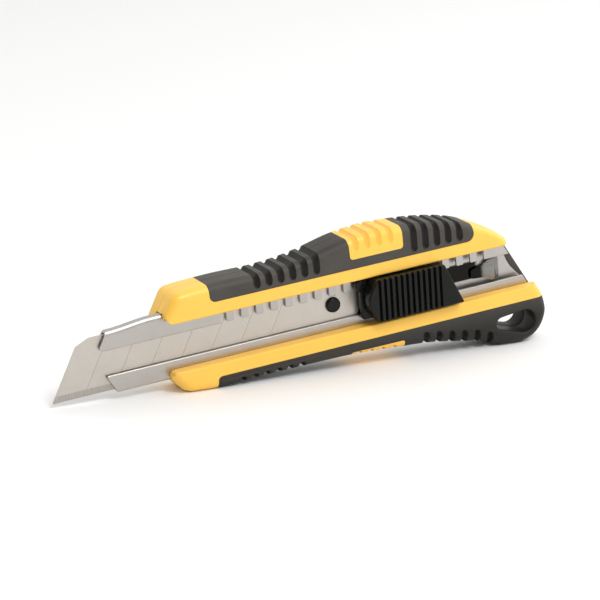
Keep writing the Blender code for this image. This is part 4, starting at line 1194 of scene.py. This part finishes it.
class KNIFE_OT_blade(bpy.types.Operator):
    """Grind the snap-off blade, with its scored segments, clipped corner and pin hole"""
    bl_idname = "knife.make_blade"
    bl_label = "Blade"

    def execute(self, context):
        half = BLADE_HIGH.y
        clip_z = BLADE_WIDTH - BLADE_CLIP_HEIGHT
        outline = [(0.0, 0.0), (BLADE_LENGTH, 0.0),
                   (BLADE_LENGTH + BLADE_WIDTH * BLADE_LEAN, BLADE_WIDTH),
                   (BLADE_WIDTH * BLADE_LEAN + BLADE_CLIP, BLADE_WIDTH), (clip_z * BLADE_LEAN, clip_z)]
        bm = extruded([(x, -half, z) for x, z in outline], (0, 2 * half, 0))
        split_at(bm, 2, BLADE_GRIND, 1e-5)
        for vert in bm.verts:
            if vert.co.z < 1e-5:
                vert.co.y *= 0.06
        blade = new_object("snap_blade", bm)
        carve(blade, self.hole_tool())
        carve(blade, self.score_tool(half))
        finish_piece(blade, blade_steel(), "slider", "blade", 12.0)
        return {"FINISHED"}

    def hole_tool(self):
        """A round bar that cuts the hole for the pin, with some play."""
        bm = bmesh.new()
        place = Matrix.Translation((PIN_X, 0, PIN_Z)) @ Matrix.Rotation(math.pi / 2, 4, "X")
        bmesh.ops.create_cone(bm, cap_ends=True, segments=48, radius1=PIN_RADIUS + 0.3,
                              radius2=PIN_RADIUS + 0.3, depth=6.0, matrix=place)
        return new_object("hole_tool", bm)

    def score_tool(self, half):
        """Three-sided bars that cut the snap lines into both faces."""
        depth = sizes().score_depth / MM
        width = 0.11
        length = BLADE_WIDTH + 2.0
        bm = bmesh.new()
        for index in range(1, SCORE_COUNT):
            for side in (-1.0, 1.0):
                foot = SCORE_PITCH * index
                bar = [(foot - width, side * (half + 0.1)), (foot + width, side * (half + 0.1)),
                       (foot, side * (half - depth))]
                extrude_section(bm, [(x - BLADE_LEAN, y, -1.0) for x, y in bar],
                                (length * BLADE_LEAN, 0, length))
        return new_object("score_tool", bm)


class KNIFE_OT_slider(bpy.types.Operator):
    """Model the carrier with its pin, and the ribbed thumb knob"""
    bl_idname = "knife.make_slider"
    bl_label = "Slider"

    def execute(self, context):
        self.make_carrier()
        self.make_knob()
        return {"FINISHED"}

    def make_carrier(self):
        """The carrier: plate, tongue, neck, flange and pin, with room for the spring and the knob's key."""
        tongue_y = BLADE_HIGH.y + TONGUE_GAP
        back_y = CARRIER_HIGH.y
        plate = self.leaning_plate(SHEATH_BOTTOM + WALL + 0.3, SHEATH_TOP - WALL - CARRIER_CLEARANCE,
                                   CARRIER_REAR)
        carrier = prism("slide_carrier", plate, LIP_Y + WALL + CARRIER_CLEARANCE, back_y)
        tongue = block("tongue", (PIN_X - 5.0, tongue_y, TONGUE_Z[0]),
                       (TONGUE_REAR, back_y - 0.02, TONGUE_Z[1]))
        carve(carrier, tongue, "UNION")
        neck = self.leaning_plate(LOWER_LIP_Z + NECK_CLEARANCE, UPPER_LIP_Z - NECK_CLEARANCE, NECK_REAR)
        carve(carrier, prism("neck", neck, FLANGE_Y - 0.3, tongue_y + 0.3), "UNION")
        flange = prism("flange", self.flange_outline(), FLANGE_Y - FLANGE_THICKNESS, FLANGE_Y, 0.25, 3)
        carve(carrier, flange, "UNION")
        carve(carrier, self.pin_form(tongue_y), "UNION")
        carve(carrier, block("spring_seat", (SPRING_SEAT_X[0], -FAR, SPRING_SEAT_Z),
                             (SPRING_SEAT_X[1], LIP_Y + WALL + 0.2, FAR)))
        (x_low, z_low), (x_high, z_high) = KEY_SLOT
        carve(carrier, block("key_slot", (x_low, -FAR, z_low), (x_high, FLANGE_Y - 0.4, z_high)))
        soften(carrier, 0.1, angle=45.0)
        finish_piece(carrier, slider_plastic(), "slider", "blade_carrier")

    def leaning_plate(self, low, high, rear):
        """Outline of a plate whose front edge follows the blade's slanted rear end."""
        front = BLADE_LENGTH + 0.6
        return [(front + low * BLADE_LEAN, low), (rear, low), (rear, high), (front + high * BLADE_LEAN, high)]

    def flange_outline(self):
        """The flange in front of the slot, stepped at its front edge and sloped at its rear."""
        front, rear = FLANGE_X
        low = KNOB_LOW.z + 0.3
        high = KNOB_HIGH.z - 0.5
        return rounded([(front + 1.4, low, 0.8), (rear, low, 0.6), (rear - 5.0, high, 0.8),
                        (front, high, 0.8), (front, high - 3.2, 0.5), (front + 1.1, high - 3.9, 0.4),
                        (front + 1.1, low + 4.4, 0.4)])

    def pin_form(self, tongue_y):
        """The pin, with a rounded rim and a shallow dish in its head."""
        bm = bmesh.new()
        radius = PIN_RADIUS + 0.2
        head_y = -BLADE_HIGH.y - 1.1
        depth = tongue_y + 0.3 - head_y
        place = Matrix.Translation((PIN_X, head_y + depth / 2, PIN_Z)) @ Matrix.Rotation(math.pi / 2, 4, "X")
        bmesh.ops.create_cone(bm, cap_ends=True, segments=48, radius1=radius, radius2=radius, depth=depth,
                              matrix=place)
        round_edges(bm, edges_at(bm, 1, [head_y], 1e-4), 0.6, 5)
        head = min(bm.faces, key=lambda face: face.calc_center_median().y)
        bmesh.ops.inset_region(bm, faces=[head], thickness=0.25)
        bmesh.ops.translate(bm, vec=(0, 0.08, 0), verts=head.verts)
        return new_object("pin", bm)

    def make_knob(self):
        """The knob: a bowed outline, cut to a ribbed section, with a key that goes into the carrier."""
        front, face_y, low = KNOB_LOW
        rear, _, high = KNOB_HIGH
        middle = (low + high) / 2
        half = (high - low) / 2
        bow = []
        for step in range(25):
            share = -1.0 + 2.0 * step / 24
            bow.append((front + KNOB_BOW * share * share, middle - half * share))
        crown = (rear - KNOB_REAR_SLOPE, high)
        heel = (rear + 0.05, low)
        outline = bow + fillet(bow[-1], heel, crown, 0.4) + fillet(heel, crown, bow[0], 0.5)
        bm = extruded([(x, face_y, z) for x, z in outline], (0, KNOB_BACK_Y - face_y, 0))
        round_edges(bm, edges_at(bm, 1, [face_y]), 0.45, 4)
        knob = new_object("thumb_knob", bm)
        carve(knob, self.valley_tool(low, high, face_y))
        (x_low, z_low), (x_high, z_high) = KNOB_KEY
        key = block("key", (x_low, KNOB_BACK_Y - 0.3, z_low), (x_high, FLANGE_Y - 0.7, z_high))
        carve(knob, key, "UNION")
        soften(knob, 0.13, angle=38.0)
        finish_piece(knob, slider_plastic(), "knob", "slider_knob", 40.0)

    def valley_tool(self, low, high, face_y):
        """Bars that cut the valleys between the ribs: a slope in front, a steep wall behind."""
        depth = sizes().rib_depth / MM
        profile = [(-0.45, -0.5), (-0.4, 0.0), (-0.2, depth * 0.45), (0.1, depth * 0.92), (0.32, depth),
                   (0.46, depth * 0.86), (0.54, depth * 0.5), (0.62, 0.0), (0.67, -0.5)]
        bm = bmesh.new()
        for index in range(RIB_COUNT):
            x = FIRST_VALLEY_X + RIB_PITCH * index
            bar = [(x + along, face_y + inward, low - 1.0) for along, inward in profile]
            extrude_section(bm, bar, (0.3, 0, high - low + 2.0))
        return new_object("valley_tool", bm)


class KNIFE_OT_stage(bpy.types.Operator):
    """Set the pale floor, the soft light and the camera"""
    bl_idname = "knife.make_stage"
    bl_label = "Stage"

    def execute(self, context):
        self.make_floor()
        self.make_world(context.scene)
        for name, (place, size, watts) in SOFTBOXES.items():
            self.add_softbox(name, place, size, watts)
        self.add_camera(context.scene)
        context.scene.view_settings.view_transform = "Standard"
        return {"FINISHED"}

    def add_camera(self, scene):
        """The camera, level and aimed at a point just in front of the knife."""
        data = bpy.data.cameras.new("camera")
        data.lens = VIEW_LENS
        data.sensor_width = 36.0
        data.clip_start = 0.01
        camera = bpy.data.objects.new("camera", data)
        scene.collection.objects.link(camera)
        away = Vector((-math.sin(VIEW_AZIMUTH) * math.cos(VIEW_ELEVATION),
                       -math.cos(VIEW_AZIMUTH) * math.cos(VIEW_ELEVATION), math.sin(VIEW_ELEVATION)))
        camera.location = VIEW_TARGET + away * VIEW_DISTANCE
        camera.rotation_euler = away.to_track_quat("Z", "Y").to_euler()
        scene.camera = camera

    def make_floor(self):
        """A wide pale floor at the knife's lowest level."""
        bm = bmesh.new()
        bmesh.ops.create_grid(bm, x_segments=8, y_segments=8, size=3.0)
        floor = new_object("floor", bm)
        mat, tree, shader = new_material("floor_paint")
        where = node(tree, "ShaderNodeTexCoord")
        noise = node(tree, "ShaderNodeTexNoise", [("Vector", where.outputs["Object"])], Scale=6.0, Detail=6.0)
        base = colours().floor
        tone = mix_colour(tree, noise.outputs["Fac"], shade(base, 0.99), shade(base, 1.0))
        tree.links.new(tone, shader.inputs["Base Color"])
        shader.inputs["Roughness"].default_value = 0.7
        shader.inputs["Specular IOR Level"].default_value = 0.2
        floor.data.materials.append(mat)

    def make_world(self, scene):
        """A bright surround that is dimmer in front, as the open side of a light tent is."""
        world = bpy.data.worlds.new("studio")
        world.use_nodes = True
        tree = world.node_tree
        background = tree.nodes["Background"]
        heading = node(tree, "ShaderNodeTexCoord").outputs["Generated"]
        facing = node(tree, "ShaderNodeVectorMath", [(0, heading)], operation="DOT_PRODUCT")
        facing.inputs[1].default_value = (-0.8, -0.58, 0.1)
        strength = remap(tree, facing.outputs["Value"], 0.1, 0.85, 0.95, 0.4)
        tree.links.new(strength, background.inputs["Strength"])
        background.inputs["Color"].default_value = (1.0, 0.995, 0.985, 1.0)
        scene.world = world

    def add_softbox(self, name, place, size, watts):
        """A square area light, turned towards the knife."""
        data = bpy.data.lights.new(name, "AREA")
        data.shape = "SQUARE"
        data.size = size
        data.energy = watts
        lamp = bpy.data.objects.new(name, data)
        bpy.context.scene.collection.objects.link(lamp)
        lamp.location = place
        lamp.rotation_euler = (place - SOFTBOX_AIM).to_track_quat("Z", "Y").to_euler()


class KNIFE_PT_panel(bpy.types.Panel):
    """Lists the knife's pieces and sizes"""
    bl_idname = "KNIFE_PT_panel"
    bl_label = "Snap-off Knife"
    bl_space_type = "VIEW_3D"
    bl_region_type = "UI"
    bl_category = "Knife"

    def draw(self, context):
        for operator in OPERATORS:
            self.layout.operator(operator.bl_idname, text=operator.bl_label)
        for settings in (context.scene.knife_sizes, context.scene.knife_colours):
            column = self.layout.column()
            for name in settings.bl_rna.properties.keys():
                if name not in ("rna_type", "name"):
                    column.prop(settings, name)


OPERATORS = (KNIFE_OT_body, KNIFE_OT_grips, KNIFE_OT_sheath, KNIFE_OT_stop, KNIFE_OT_blade,
             KNIFE_OT_slider, KNIFE_OT_stage)
CLASSES = (KnifeSizes, KnifeColours, *OPERATORS, KNIFE_PT_panel)


def register():
    for cls in CLASSES:
        bpy.utils.register_class(cls)
    bpy.types.Scene.knife_sizes = bpy.props.PointerProperty(type=KnifeSizes)
    bpy.types.Scene.knife_colours = bpy.props.PointerProperty(type=KnifeColours)


def unregister():
    del bpy.types.Scene.knife_colours
    del bpy.types.Scene.knife_sizes
    for cls in reversed(CLASSES):
        bpy.utils.unregister_class(cls)


def main():
    register()
    bpy.ops.knife.make_body()
    bpy.ops.knife.make_grips()
    bpy.ops.knife.make_sheath()
    bpy.ops.knife.make_stop()
    bpy.ops.knife.make_blade()
    bpy.ops.knife.make_slider()
    bpy.ops.knife.make_stage()


if __name__ == "__main__":
    main()
